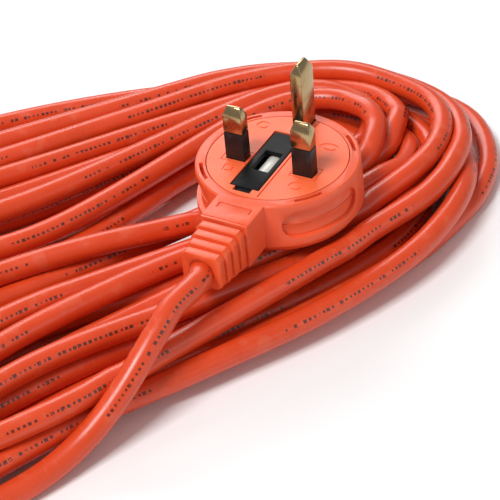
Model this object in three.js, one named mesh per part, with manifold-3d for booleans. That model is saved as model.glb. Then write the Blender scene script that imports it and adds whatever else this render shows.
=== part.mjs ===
// Mains lead of a garden mower: a round moulded three-pin plug with a fuse, lying pins up on a loose
// hank of two-core flex. Millimetres, +Z up, the floor at Z = 0 and the origin under the middle.
import * as THREE from "three";
import { mergeVertices } from "three/addons/utils/BufferGeometryUtils.js";
import Module from "manifold-3d";

const wasm = await Module();
wasm.setup();

// ---- Driving dimensions ----------------------------------------------------------------------

const GAP = 0.3; // between pieces that touch on the real object
const FIT = 0.15; // round pins and sleeves, which are a close fit

// Flex
const FLEX_DIAMETER = 7.2;
const CORE_DIAMETER = 2.6;
const CORE_PITCH = 3.1; // between the two cores' axes inside the sheath
const FLEX_REST_HEIGHT = 3.75; // axis of a strand that lies on the floor

// Where the plug lies, in the row frame
const PLUG_X = 93;
const PLUG_Y = -38.5;
const FACE_HEIGHT = 36;
const PLUG_TURN = THREE.MathUtils.degToRad(-58);

// Plug body, in the plug's own frame: x from the live to the neutral pin, y from the cable to the
// earth pin, z out of the face, origin midway between the live and neutral pins on the face
const BODY_CENTRE_Y = 4.05;
const BODY_FACE_RADIUS = 24.8;
const BODY_FLARE = 0.6; // how much wider the side is at its lower end
const BODY_THICKNESS = 17.5;
const BACK_ROUND = 3.3; // height of the rounded edge round the back
const BACK_INSET = 4.3; // how far the flat of the back lies inside the face's edge
const BACK_BULGE = 0.9; // of that rounded edge, out and up from its chord
const EDGE_ROUND = 0.5;
const WALL_AT_BACK = 2.6;
const RIM_WIDTH = 3.2; // orange rim round the face plate
const PLATE_THICKNESS = 3;
const SIDE_WALL = 5.3; // round the pin bridge
const NECK_LENGTH = 9.25; // beyond the round body
const NECK_WIDTH_AT_DISC = 15.4;
const NECK_WIDTH_AT_END = 14.8;
const FLEX_AXIS_DROP = 0.25; // flex axis below the middle of the neck
const RIM_SLOT_INSET = 1.9; // from the face's edge to the middle of a rim slot
const RIM_SLOT_WIDTH = 1.1;
const RIM_SLOT_DEPTH = 2.5;
const RIM_SLOT_SPAN = THREE.MathUtils.degToRad(21.5);
const RIM_SLOT_OFF_AXIS = THREE.MathUtils.degToRad(40);
const GRIP_LENGTH = 26;
const GRIP_HEIGHT = 9;
const GRIP_DEPTH = 0.9;
const GRIP_BELOW_FACE = 7.2;
const GRIP_TURN = THREE.MathUtils.degToRad(-30);

// Boot
const BOOT_RIBS = 4;
const BOOT_PITCH = 3.5;
const RIB_THICKNESS = 2.5;
const RIB_STEP_AT_NECK = 0.3; // how much smaller the first rib is than the neck
const LAST_RIB_SIDE = 2.55; // last rib beyond the flex, on each side
const LAST_RIB_TOP = 1.8; // last rib beyond the flex, above and below
const RIB_CHAMFER = 1.2;
const BOOT_WALL_FIRST = 1.9; // round the flex, between the ribs
const BOOT_WALL_LAST = 0.75;
const BOOT_ROOT = 2.6; // length let into the neck

// Pins
const LINE_PIN = { width: 6.35, depth: 3.98, length: 17.7 };
const EARTH_PIN = { width: 3.98, depth: 7.95, length: 22.7, foot: 10.4 };
const LINE_TIP = { ridge: 4.4, thickness: 0.9, rise: 2.7 };
const EARTH_TIP = { ridge: 4.9, thickness: 0.9, rise: 3.1 };
const PIN_PITCH = 22.2; // live to neutral
const EARTH_RISE = 22.2; // pin line to the earth pin
const SLEEVE_LENGTH = 9.3; // above the face
const SLEEVE_ROOT = 2; // below the face
const SLEEVE_WALL = 0.75;

// Fuse bay
const BAY_WALL = 1.325; // from the live pin to the carrier
const BAY_Y = 1.35; // bay's middle, from the pin line
const CARRIER_PLATE = 1.5;
const CARRIER_CHEEK = 0.9;
const CHEEK_CLEAR = 0.375; // between a cheek and the fuse
const CARRIER_END = 1.7; // beyond each end of the fuse
const CARRIER_CHEEK_LENGTH = 12;
const CARRIER_CHEEK_GRIP = 1.2; // how far the cheeks reach below the fuse's axis
const CARRIER_SINK = 0.15; // how far the carrier's top lies below the face
const WINDOW_WIDTH = 5.6;
const WINDOW_LENGTH = 9.9;
const WINDOW_OFF_CENTRE = { x: 0.15, y: -0.3 };
const NOTCH_WIDTH = 5.7;
const NOTCH_LENGTH = 1.6;
const FUSE_LENGTH = 25.4;
const FUSE_DIAMETER = 6.35;
const FUSE_CAP_LENGTH = 5.6;
const FUSE_CAP_WALL = 0.35;
const FUSE_BORE = 3.4;
const FUSE_WIRE = 0.5;
const FUSE_WAIST = 0.15; // how far the tube lies inside its caps' diameter
const CLIP_LENGTH = 4.6;
const CLIP_STOCK = 0.6;
const CLIP_GRIP = 0.8; // share of the fuse's diameter that the arms cover
const CARRIER_TRAVEL_CLEAR = 0.4; // round the carrier in its bay

// Crimps
const CRIMP_LENGTH = 6;
const CRIMP_WALL = 0.5;
const CRIMP_BLIND = 1; // closed length at its end
const CORE_STRAIGHT = 0.8; // straight length of a core at each side of a crimp's mouth

// Hank
const HANK_HEIGHT = 20.5;
const POCKET_DEPTH_CLEAR = 0.35; // between the plug's back and the strands below it
const POCKET_SIDE_CLEAR = 0.6;
const LEFT_BEND = { x: -104.9, y: -10.2, radius: 80.3, eye: 29.6 };
const TAIL_STEP_X = -100;
const FAR_STEP_X = -90;
// Outer edge of the strands from the front round the right-hand end to the back
const HANK_RIM = [
  [-10, -79.2], [30, -74], [81, -70.5], [127, -60.5], [155, -52.5], [173, -38.5], [183.5, -20], [185.5, -2],
  [178, 14], [160, 29.5], [116, 54.5], [55, 78.5], [5, 89.5], [-30, 90], [-70, 82],
];
// Where the strands close the eye, from the front to the back
const EYE_END = [[-66, -33], [-28, -19], [2, -8], [2, 0], [-20, 15.5]];
const EYE_REAR_X = -40; // where the innermost rear strand begins to lean in

// Tie
const TIE_WIDTH = 9;
const TIE_THICKNESS = 1.2;
const TIE_CLEAR = 0.5;
const TIE_HEAD = 7;

// Far end
const FAR_SHEATH_LENGTH = 27;
const FAR_CORE_LENGTH = 24;
const FERRULE_DIAMETER = 1.9;
const FERRULE_LENGTH = 8;
const FAR_CORE_REST = 1.6; // axis of a core that lies on the floor
// How the two cores part beyond the sheath: distance from it, how far each one leans outwards, how
// far both lean together, and how far the axis has sunk from the sheath's to its place of rest (0 to 1)
const FAR_CORE_FAN = [
  { along: 0, apart: 0, aside: 0, sunk: 0 },
  { along: 4, apart: 0.3, aside: 0.9, sunk: 0.19 },
  { along: 10, apart: 1.6, aside: 4.2, sunk: 0.81 },
  { along: 17, apart: 2.4, aside: 8.2, sunk: 1 },
  { along: FAR_CORE_LENGTH, apart: 2.6, aside: 9.5, sunk: 1 },
];

// Route of the flex from the boot to the hank, by hand
const TAIL_ROUTE = [
  [41.9, -69.6, 27.4],
  [35.9, -73, 25.2],
  [30, -75.7, 22],
  [24, -78, 18],
  [17.6, -79.8, 13.6],
  [10.4, -81.4, 9.4],
  [2.4, -83, 6.2],
  [-6.4, -84.6, 4.4],
  [-17, -85.8, FLEX_REST_HEIGHT],
  [-32, -86.5, FLEX_REST_HEIGHT],
  [-50, -86.6, FLEX_REST_HEIGHT],
  [-68, -86.6, FLEX_REST_HEIGHT],
  [-85, -86.6, FLEX_REST_HEIGHT],
];

// ---- Materials -------------------------------------------------------------------------------

function material(color, roughness, metalness = 0) {
  return new THREE.MeshStandardMaterial({ color, roughness, metalness });
}

const ORANGE_PVC = material(0xf2582e, 0.45);
const ORANGE_PLATE = material(0xf46035, 0.5);
const BLACK_NYLON = material(0x1c1b1b, 0.42);
const BRASS = material(0xcbb26a, 0.25, 1);
const CERAMIC = material(0xf1efe8, 0.35);
const NICKEL = material(0xc9c9c6, 0.22, 1);
const BRIDGE_PLASTIC = material(0xd8d2c6, 0.55);
const BROWN_CORE = material(0x5b3318, 0.45);
const BLUE_CORE = material(0x2358a8, 0.45);
const TIE_PLASTIC = material(0x1a1a1c, 0.5);

// ---- Solids ----------------------------------------------------------------------------------

// A closed three.js geometry as a manifold-3d solid.
function solid(geometry) {
  const bare = geometry.clone();
  bare.deleteAttribute("normal");
  bare.deleteAttribute("uv");
  const merged = mergeVertices(bare, 1e-4);
  const mesh = new wasm.Mesh({
    numProp: 3,
    vertProperties: new Float32Array(merged.attributes.position.array),
    triVerts: new Uint32Array(merged.index.array),
  });
  return new wasm.Manifold(mesh);
}

// A manifold-3d solid as a three.js geometry with flat faces.
function geometryOf(made) {
  const mesh = made.getMesh();
  const geometry = new THREE.BufferGeometry();
  geometry.setAttribute("position", new THREE.BufferAttribute(mesh.vertProperties, mesh.numProp));
  geometry.setIndex(new THREE.BufferAttribute(mesh.triVerts, 1));
  geometry.computeVertexNormals();
  return geometry;
}

function box(width, depth, height, x, y, top) {
  return solid(new THREE.BoxGeometry(width, depth, height).translate(x, y, top - height / 2));
}

// An outline in X and Y, raised from low to high.
function prism(outline, low, high) {
  const options = { depth: high - low, bevelEnabled: false, curveSegments: 24 };
  return solid(new THREE.ExtrudeGeometry(outline, options).translate(0, 0, low));
}

// A profile of [radius, z] pairs, turned about Z.
function turned(profile, segments = 56) {
  const points = profile.map(([radius, z]) => new THREE.Vector2(radius, z));
  return solid(new THREE.LatheGeometry(points, segments).rotateX(Math.PI / 2));
}

function disc(radius, low, high, x = 0, y = 0, segments = 56) {
  return turned([[0, low], [radius, low], [radius, high], [0, high]], segments).translate([x, y, 0]);
}

// A round bar along Y.
function barAlongY(diameter, from, to, x, z, segments = 24) {
  const bar = new THREE.CylinderGeometry(diameter / 2, diameter / 2, to - from, segments);
  return solid(bar.translate(x, (from + to) / 2, z));
}

// A bar of round section along a curve, its ends cut square.
function barAlong(points, diameter, sides, steps) {
  const route = new THREE.CatmullRomCurve3(points.map((p) => new THREE.Vector3(...p)), false, "centripetal");
  const section = new THREE.Shape();
  for (let i = 0; i < sides; i++) {
    const angle = (2 * Math.PI * i) / sides;
    const x = (diameter / 2) * Math.cos(angle);
    const y = (diameter / 2) * Math.sin(angle);
    if (i) section.lineTo(x, y);
    else section.moveTo(x, y);
  }
  section.closePath();
  return solid(new THREE.ExtrudeGeometry(section, { steps, extrudePath: route, bevelEnabled: false }));
}

function polygon(points) {
  return new THREE.Shape(points.map(([x, y]) => new THREE.Vector2(x, y)));
}

function rectangle(width, height, chamfer = 0) {
  const w = width / 2;
  const h = height / 2;
  const c = chamfer;
  if (!c) return polygon([[-w, -h], [w, -h], [w, h], [-w, h]]);
  return polygon([
    [-w + c, -h], [w - c, -h], [w, -h + c], [w, h - c],
    [w - c, h], [-w + c, h], [-w, h - c], [-w, -h + c],
  ]);
}

function stadium(length, height) {
  const r = height / 2;
  const half = length / 2 - r;
  const shape = new THREE.Shape();
  shape.absarc(half, 0, r, -Math.PI / 2, Math.PI / 2, false);
  shape.absarc(-half, 0, r, Math.PI / 2, (3 * Math.PI) / 2, false);
  shape.closePath();
  return shape;
}

function ringSector(radius, width, middle, span) {
  const shape = new THREE.Shape();
  shape.absarc(0, 0, radius + width / 2, middle - span / 2, middle + span / 2, false);
  shape.absarc(0, 0, radius - width / 2, middle + span / 2, middle - span / 2, true);
  shape.closePath();
  return shape;
}

function cut(from, ...tools) {
  return tools.reduce((left, tool) => left.subtract(tool), from);
}

function join(first, ...others) {
  return others.reduce((whole, other) => whole.add(other), first);
}

// ---- Plug ------------------------------------------------------------------------------------

const plug = new THREE.Group();
plug.position.set(PLUG_X, PLUG_Y, FACE_HEIGHT);
plug.rotation.z = PLUG_TURN;

function place(group, name, made, finish) {
  const mesh = new THREE.Mesh(geometryOf(made), finish.clone());
  mesh.name = name;
  group.add(mesh);
}

const BODY_SIDE = BODY_THICKNESS - BACK_ROUND;
const BACK_RADIUS = BODY_FACE_RADIUS - BACK_INSET;
const PLATE_RADIUS = BODY_FACE_RADIUS - RIM_WIDTH - GAP;
const BRIDGE_RADIUS = BODY_FACE_RADIUS - SIDE_WALL - GAP;
const NECK_END = BODY_FACE_RADIUS - BODY_CENTRE_Y + NECK_LENGTH;
const NECK_HEIGHT = BODY_SIDE;
const FLEX_AXIS = -NECK_HEIGHT / 2 - FLEX_AXIS_DROP;
const PLATE_BOTTOM = -PLATE_THICKNESS;
const BRIDGE_TOP = PLATE_BOTTOM - GAP;
const CAVITY_FLOOR = WALL_AT_BACK - BODY_THICKNESS;
const BRIDGE_BOTTOM = CAVITY_FLOOR + GAP;
const NECK_BORE = FLEX_DIAMETER + 2 * FIT;
const BOOT_ROOT_SIZE = FLEX_DIAMETER + 2 * BOOT_WALL_FIRST;
const BOOT_END = NECK_END + BOOT_PITCH * BOOT_RIBS;
const SHEATH_START = -(BRIDGE_RADIUS - BODY_CENTRE_Y + GAP); // y where the sheath is stripped back

// The hole that a pin needs, from above the face down to a given depth.
function pinHole(pin, x, y, clearance, bottom = -2 * BODY_THICKNESS) {
  const width = pin.width + 2 * clearance;
  const depth = pin.depth + 2 * clearance;
  return box(width, depth, BODY_THICKNESS - bottom, x, y, BODY_THICKNESS);
}

const LINE_PLACES = [
  ["live", -PIN_PITCH / 2],
  ["neutral", PIN_PITCH / 2],
];

function rimSlots() {
  const middles = [1, -1].flatMap((s) => [s * RIM_SLOT_OFF_AXIS, Math.PI - s * RIM_SLOT_OFF_AXIS]);
  const radius = BODY_FACE_RADIUS - RIM_SLOT_INSET;
  return middles.map((middle) =>
    prism(ringSector(radius, RIM_SLOT_WIDTH, middle, RIM_SLOT_SPAN), -RIM_SLOT_DEPTH, 1)
      .translate([0, BODY_CENTRE_Y, 0]),
  );
}

// The stadium-shaped finger grips, which leave a round wall at their bottom.
function gripRecesses() {
  const reach = BODY_FACE_RADIUS + 2 * BODY_FLARE;
  const inside = disc(BODY_FACE_RADIUS - GRIP_DEPTH, -BODY_THICKNESS, 1);
  const options = { depth: reach, bevelEnabled: false, curveSegments: 8 };
  const block = new THREE.ExtrudeGeometry(stadium(GRIP_LENGTH, GRIP_HEIGHT), options);
  block.rotateX(Math.PI / 2).rotateZ(Math.PI / 2);
  const outward = solid(block.translate(0, 0, -GRIP_BELOW_FACE)).subtract(inside);
  const degrees = THREE.MathUtils.radToDeg(GRIP_TURN);
  return [outward.rotate([0, 0, degrees]), outward.rotate([0, 0, 180 - degrees])].map((grip) =>
    grip.translate([0, BODY_CENTRE_Y, 0]),
  );
}

function plugBody() {
  const side = BODY_FACE_RADIUS + BODY_FLARE;
  const shell = turned([
    [0, -BODY_THICKNESS],
    [BACK_RADIUS, -BODY_THICKNESS],
    [(BACK_RADIUS + side) / 2 + BACK_BULGE, -BODY_THICKNESS + BACK_BULGE],
    [side, -BODY_SIDE],
    [BODY_FACE_RADIUS, -EDGE_ROUND],
    [BODY_FACE_RADIUS - EDGE_ROUND, 0],
    [0, 0],
  ]).translate([0, BODY_CENTRE_Y, 0]);
  const a = NECK_WIDTH_AT_DISC / 2;
  const b = NECK_WIDTH_AT_END / 2;
  const neck = prism(polygon([[-b, -NECK_END], [b, -NECK_END], [a, 0], [-a, 0]]), -NECK_HEIGHT, 0);
  const socketSize = BOOT_ROOT_SIZE + 2 * GAP;
  const socket = box(socketSize, 2 * (BOOT_ROOT + GAP), socketSize, 0, -NECK_END,
    FLEX_AXIS + socketSize / 2);
  return cut(
    join(shell, neck),
    disc(PLATE_RADIUS + GAP, BRIDGE_TOP, 1, 0, BODY_CENTRE_Y),
    disc(BRIDGE_RADIUS + GAP, CAVITY_FLOOR, BRIDGE_TOP + GAP, 0, BODY_CENTRE_Y),
    barAlongY(NECK_BORE, -NECK_END - 1, 0, 0, FLEX_AXIS),
    socket,
    pinHole(EARTH_PIN, 0, EARTH_RISE, FIT, -EARTH_PIN.foot - GAP),
    ...rimSlots(),
    ...gripRecesses(),
  );
}

const CARRIER_WIDTH = FUSE_DIAMETER + 2 * (CARRIER_CHEEK + CHEEK_CLEAR);
const CARRIER_LENGTH = FUSE_LENGTH + 2 * CARRIER_END;
const BAY_WIDTH = CARRIER_WIDTH + 2 * CARRIER_TRAVEL_CLEAR;
const BAY_X = LINE_PIN.width / 2 - PIN_PITCH / 2 + BAY_WALL + CARRIER_WIDTH / 2;
const BAY_LENGTH = CARRIER_LENGTH + 2 * CARRIER_TRAVEL_CLEAR;
const NOTCH_MIDDLE = BAY_Y - CARRIER_LENGTH / 2 - NOTCH_LENGTH / 2;

function facePlate() {
  return cut(
    disc(PLATE_RADIUS, PLATE_BOTTOM, 0, 0, BODY_CENTRE_Y),
    pinHole(EARTH_PIN, 0, EARTH_RISE, FIT),
    ...LINE_PLACES.map(([, x]) => pinHole(LINE_PIN, x, 0, FIT)),
    box(BAY_WIDTH, BAY_LENGTH, 2 * BODY_THICKNESS, BAY_X, BAY_Y, BODY_THICKNESS),
    box(NOTCH_WIDTH, 2 * NOTCH_LENGTH, 2 * BODY_THICKNESS, BAY_X, NOTCH_MIDDLE, BODY_THICKNESS),
  );
}

const FUSE_RADIUS = FUSE_DIAMETER / 2;
const CARRIER_TOP = -CARRIER_SINK;
const FUSE_AXIS = CARRIER_TOP - CARRIER_PLATE - GAP - FUSE_RADIUS;
const CLIP_FLOOR = FUSE_AXIS - FUSE_RADIUS - GAP; // top of the clip's base
const STRAP_TOP = CLIP_FLOOR;
const STRAP_BOTTOM = CLIP_FLOOR - CLIP_STOCK;
const CAP_MIDDLE = FUSE_LENGTH / 2 - FUSE_CAP_LENGTH / 2;
const CLIP_ARM_X = FUSE_RADIUS + GAP + CLIP_STOCK / 2; // from the fuse's axis
const LOAD_CLIP_END = BAY_Y - CAP_MIDDLE - CLIP_LENGTH / 2; // y of the end towards the flex
const CRIMP_DIAMETER = CORE_DIAMETER + 2 * (CRIMP_WALL + FIT);
const CRIMP_AXIS = STRAP_BOTTOM - GAP - CRIMP_DIAMETER / 2; // hangs just under the straps
const LOAD_CRIMP_Y = BAY_Y - CAP_MIDDLE + CRIMP_LENGTH;
const NEUTRAL_CRIMP_Y = 0;
const BESIDE_CLIP = BAY_X + CLIP_ARM_X + CLIP_STOCK / 2 + CORE_DIAMETER / 2 + GAP;

// The rigid block that the pins and clips sit in, open where the fuse and the wiring go.
function pinBridge() {
  const well = box(BAY_WIDTH, BAY_LENGTH, -BRIDGE_TOP - STRAP_BOTTOM + GAP, BAY_X, BAY_Y, 0);
  const liveX = -PIN_PITCH / 2;
  const liveChannelWidth = BAY_X - liveX;
  const liveChannelY = BAY_Y + CAP_MIDDLE;
  const channelDepth = CLIP_LENGTH + 2 * GAP;
  const wiringWidth = PIN_PITCH + LINE_PIN.width + 2 * GAP;
  const wiringHeight = STRAP_TOP - BRIDGE_BOTTOM + 2 * GAP;
  const wiring = box(wiringWidth, BODY_FACE_RADIUS + CRIMP_LENGTH, wiringHeight + 1, 0,
    CRIMP_LENGTH - (BODY_FACE_RADIUS + CRIMP_LENGTH) / 2, STRAP_TOP + GAP);
  return cut(
    disc(BRIDGE_RADIUS, BRIDGE_BOTTOM, BRIDGE_TOP, 0, BODY_CENTRE_Y),
    well,
    pinHole(EARTH_PIN, 0, EARTH_RISE, GAP),
    ...LINE_PLACES.map(([, x]) => pinHole(LINE_PIN, x, 0, GAP)),
    box(liveChannelWidth + LINE_PIN.width, channelDepth, BODY_THICKNESS, liveX + liveChannelWidth / 2,
      liveChannelY, STRAP_TOP + GAP),
    box(LINE_PIN.width, liveChannelY + LINE_PIN.depth, BODY_THICKNESS, liveX, liveChannelY / 2,
      STRAP_TOP + GAP),
    wiring,
    box(NECK_BORE + 2 * GAP, BODY_FACE_RADIUS, BODY_THICKNESS, 0, SHEATH_START + CRIMP_LENGTH
      - BODY_FACE_RADIUS / 2, FLEX_AXIS + NECK_BORE / 2),
  );
}

// A pin of rectangular section whose end is chamfered to a ridge; along is the ridge's direction.
function chamferedBar(width, depth, bottom, top, tip, along) {
  const acrossX = along === "x" ? tip.ridge : tip.thickness;
  const acrossY = along === "x" ? tip.thickness : tip.ridge;
  const outline = (across, end) => [
    [-across / 2, bottom], [across / 2, bottom], [across / 2, top - tip.rise],
    [end / 2, top], [-end / 2, top], [-across / 2, top - tip.rise],
  ];
  const options = { depth: 2 * (width + depth), bevelEnabled: false };
  const slab = (points) => new THREE.ExtrudeGeometry(polygon(points), options)
    .translate(0, 0, -options.depth / 2)
    .rotateX(Math.PI / 2);
  const inX = solid(slab(outline(width, acrossX)));
  const inY = solid(slab(outline(depth, acrossY)).rotateZ(Math.PI / 2));
  return inX.intersect(inY);
}

// A line pin: brass head, thinner shank inside its sleeve, and a foot just above the straps.
function linePin(x) {
  const brassStart = SLEEVE_LENGTH + FIT;
  const head = chamferedBar(LINE_PIN.width, LINE_PIN.depth, brassStart, LINE_PIN.length, LINE_TIP, "x");
  const shankWidth = LINE_PIN.width - 2 * SLEEVE_WALL;
  const shankDepth = LINE_PIN.depth - 2 * SLEEVE_WALL;
  const footTop = -SLEEVE_ROOT - FIT;
  const shank = box(shankWidth, shankDepth, brassStart - footTop + 2, 0, 0, brassStart + 1);
  const foot = box(LINE_PIN.width, LINE_PIN.depth, footTop - STRAP_TOP - GAP, 0, 0, footTop);
  return join(head, shank, foot).translate([x, 0, 0]);
}

function lineSleeve(x) {
  const height = SLEEVE_LENGTH + SLEEVE_ROOT;
  const inner = SLEEVE_WALL - FIT;
  const outside = box(LINE_PIN.width, LINE_PIN.depth, height, x, 0, SLEEVE_LENGTH);
  const inside = box(LINE_PIN.width - 2 * inner, LINE_PIN.depth - 2 * inner, 2 * height, x, 0, 1.5 * height);
  return outside.subtract(inside);
}

function earthPin() {
  return chamferedBar(EARTH_PIN.width, EARTH_PIN.depth, -EARTH_PIN.foot, EARTH_PIN.length, EARTH_TIP, "y")
    .translate([0, EARTH_RISE, 0]);
}

function fuseCarrier() {
  const plate = box(CARRIER_WIDTH, CARRIER_LENGTH, CARRIER_PLATE, BAY_X, BAY_Y, CARRIER_TOP);
  const cheekHeight = CARRIER_PLATE + GAP + FUSE_RADIUS + CARRIER_CHEEK_GRIP;
  const cheekX = CARRIER_WIDTH / 2 - CARRIER_CHEEK / 2;
  const cheeks = [-1, 1].map((side) =>
    box(CARRIER_CHEEK, CARRIER_CHEEK_LENGTH, cheekHeight, BAY_X + side * cheekX, BAY_Y, CARRIER_TOP),
  );
  const tabTop = CARRIER_TOP - CARRIER_PLATE / 2;
  const tabLength = NOTCH_LENGTH - CARRIER_TRAVEL_CLEAR;
  const tab = box(NOTCH_WIDTH - 2 * CARRIER_TRAVEL_CLEAR, 2 * tabLength, CARRIER_PLATE / 2, BAY_X,
    BAY_Y - CARRIER_LENGTH / 2, tabTop);
  return cut(
    join(plate, ...cheeks, tab),
    box(WINDOW_WIDTH, WINDOW_LENGTH, 4 * CARRIER_PLATE, BAY_X + WINDOW_OFF_CENTRE.x,
      BAY_Y + WINDOW_OFF_CENTRE.y, 2 * CARRIER_PLATE),
  );
}

function fuseTube() {
  const middle = FUSE_LENGTH - 2 * FUSE_CAP_LENGTH - 2 * GAP;
  const end = FUSE_LENGTH / 2 - FUSE_CAP_WALL - GAP;
  const waist = FUSE_DIAMETER - 2 * FUSE_WAIST;
  const neck = FUSE_DIAMETER - 2 * FUSE_CAP_WALL - GAP;
  const wide = barAlongY(waist, BAY_Y - middle / 2, BAY_Y + middle / 2, BAY_X, FUSE_AXIS, 32);
  const narrow = barAlongY(neck, BAY_Y - end, BAY_Y + end, BAY_X, FUSE_AXIS, 32);
  const bore = barAlongY(FUSE_BORE, BAY_Y - FUSE_LENGTH, BAY_Y + FUSE_LENGTH, BAY_X, FUSE_AXIS, 16);
  return join(wide, narrow).subtract(bore);
}

function fuseCap(side) {
  const outer = side * FUSE_LENGTH / 2;
  const inner = side * (FUSE_LENGTH / 2 - FUSE_CAP_LENGTH);
  const from = Math.min(outer, inner);
  const to = Math.max(outer, inner);
  const floor = side * FUSE_CAP_WALL;
  const cup = barAlongY(FUSE_DIAMETER, BAY_Y + from, BAY_Y + to, BAY_X, FUSE_AXIS, 32);
  const bore = barAlongY(FUSE_DIAMETER - 2 * FUSE_CAP_WALL, BAY_Y + from - floor, BAY_Y + to - floor,
    BAY_X, FUSE_AXIS, 32);
  return cup.subtract(bore);
}

function fuseWire() {
  const end = FUSE_LENGTH / 2 - FUSE_CAP_WALL - GAP;
  return barAlongY(FUSE_WIRE, BAY_Y - end, BAY_Y + end, BAY_X, FUSE_AXIS, 8);
}

// Spring clip for one fuse cap: a base under the cap and an arm on each side.
function clipSolid(side) {
  const y = BAY_Y + side * CAP_MIDDLE;
  const armHeight = FUSE_DIAMETER * CLIP_GRIP;
  const base = box(2 * CLIP_ARM_X + CLIP_STOCK, CLIP_LENGTH, CLIP_STOCK, BAY_X, y, CLIP_FLOOR);
  const arms = [-1, 1].map((hand) =>
    box(CLIP_STOCK, CLIP_LENGTH, armHeight, BAY_X + hand * CLIP_ARM_X, y, STRAP_BOTTOM + armHeight),
  );
  return join(base, ...arms);
}

// The clip towards the earth pin, with its strap under the live pin's foot.
function liveClip() {
  const y = BAY_Y + CAP_MIDDLE;
  const liveX = -PIN_PITCH / 2;
  const reach = BAY_X - liveX + LINE_PIN.width / 2;
  const sideways = box(reach, CLIP_LENGTH, CLIP_STOCK, BAY_X - reach / 2, y, STRAP_TOP);
  const along = box(LINE_PIN.width - 2 * GAP, y + LINE_PIN.depth / 2, CLIP_STOCK, liveX,
    (y - LINE_PIN.depth / 2) / 2, STRAP_TOP);
  return join(clipSolid(1), sideways, along);
}

// A crimp: a short tube round a core's end, with a tongue up to the strap that it hangs from.
function crimpTube(x, y) {
  const tube = barAlongY(CRIMP_DIAMETER, y - CRIMP_LENGTH, y, x, CRIMP_AXIS, 16);
  const bore = barAlongY(CORE_DIAMETER + 2 * FIT, y - 2 * CRIMP_LENGTH, y - CRIMP_BLIND, x, CRIMP_AXIS, 16);
  return tube.subtract(bore);
}

function neutralCrimp() {
  const x = PIN_PITCH / 2;
  const tongueLength = LINE_PIN.depth / 2 + CRIMP_BLIND;
  const tongueThickness = CLIP_STOCK + GAP + CRIMP_WALL / 2;
  const tongue = box(CRIMP_DIAMETER, tongueLength, tongueThickness, x,
    NEUTRAL_CRIMP_Y + tongueLength / 2 - CRIMP_BLIND, STRAP_TOP);
  return join(crimpTube(x, NEUTRAL_CRIMP_Y), tongue);
}

// A core from its crimp, past the load clip's end and up into the sheath. passX is where it passes
// the clip's end.
function innerCore(x, fromY, side, passX) {
  const sheathX = (side * CORE_PITCH) / 2;
  const mouth = fromY - CRIMP_LENGTH;
  const low = CRIMP_AXIS;
  return barAlong([
    [x, fromY - CRIMP_BLIND - GAP, low],
    [x, mouth + CORE_STRAIGHT, low],
    [x, mouth - CORE_STRAIGHT, low],
    [passX, LOAD_CLIP_END + GAP, low],
    [sheathX, SHEATH_START + CORE_DIAMETER / 2, FLEX_AXIS - GAP],
    [sheathX, SHEATH_START + 2 * GAP, FLEX_AXIS],
    [sheathX, SHEATH_START + GAP, FLEX_AXIS],
  ], CORE_DIAMETER, 8, 16);
}

function bootSolid() {
  const solids = [];
  const firstWidth = NECK_WIDTH_AT_END - 2 * RIB_STEP_AT_NECK;
  const firstHeight = NECK_HEIGHT - 2 * RIB_STEP_AT_NECK;
  const lastWidth = FLEX_DIAMETER + 2 * LAST_RIB_SIDE;
  const lastHeight = FLEX_DIAMETER + 2 * LAST_RIB_TOP;
  const groove = BOOT_PITCH - RIB_THICKNESS;
  for (let i = 0; i < BOOT_RIBS; i++) {
    const share = i / (BOOT_RIBS - 1);
    const width = THREE.MathUtils.lerp(firstWidth, lastWidth, share);
    const height = THREE.MathUtils.lerp(firstHeight, lastHeight, share);
    const wall = THREE.MathUtils.lerp(BOOT_WALL_FIRST, BOOT_WALL_LAST, share);
    const core = FLEX_DIAMETER + 2 * wall;
    const y = -NECK_END - groove - i * BOOT_PITCH;
    const rib = prism(rectangle(width, height, RIB_CHAMFER), 0, RIB_THICKNESS);
    const neckSide = i ? groove + GAP : groove - GAP;
    const stem = prism(rectangle(core, core, RIB_CHAMFER), -neckSide, GAP);
    solids.push(join(rib, stem).rotate([90, 0, 0]).translate([0, y, FLEX_AXIS]));
  }
  const rootLength = BOOT_ROOT + groove + GAP;
  const root = box(BOOT_ROOT_SIZE, rootLength, BOOT_ROOT_SIZE, 0,
    -NECK_END + BOOT_ROOT - rootLength / 2, FLEX_AXIS + BOOT_ROOT_SIZE / 2);
  const bore = barAlongY(NECK_BORE, -BOOT_END - BOOT_PITCH, -NECK_END + 2 * BOOT_ROOT, 0, FLEX_AXIS);
  return join(root, ...solids).subtract(bore);
}

place(plug, "plug_body", plugBody(), ORANGE_PVC);
place(plug, "face_plate", facePlate(), ORANGE_PLATE);
place(plug, "pin_bridge", pinBridge(), BRIDGE_PLASTIC);
place(plug, "earth_pin", earthPin(), BRASS);
for (const [name, x] of LINE_PLACES) {
  place(plug, name + "_pin", linePin(x), BRASS);
  place(plug, name + "_pin_sleeve", lineSleeve(x), BLACK_NYLON);
}
place(plug, "fuse_carrier", fuseCarrier(), BLACK_NYLON);
place(plug, "fuse_tube", fuseTube(), CERAMIC);
place(plug, "fuse_cap_live", fuseCap(1), NICKEL);
place(plug, "fuse_cap_load", fuseCap(-1), NICKEL);
place(plug, "fuse_wire", fuseWire(), NICKEL);
place(plug, "fuse_clip_live", liveClip(), BRASS);
place(plug, "fuse_clip_load", clipSolid(-1), BRASS);
place(plug, "brown_crimp", crimpTube(BAY_X, LOAD_CRIMP_Y), BRASS);
place(plug, "blue_crimp", neutralCrimp(), BRASS);
place(plug, "brown_core_in_plug", innerCore(BAY_X, LOAD_CRIMP_Y, -1, BAY_X), BROWN_CORE);
place(plug, "blue_core_in_plug", innerCore(PIN_PITCH / 2, NEUTRAL_CRIMP_Y, 1, BESIDE_CLIP), BLUE_CORE);
place(plug, "sheath_in_plug", barAlongY(FLEX_DIAMETER, -BOOT_END, SHEATH_START, 0, FLEX_AXIS), ORANGE_PVC);
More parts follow.
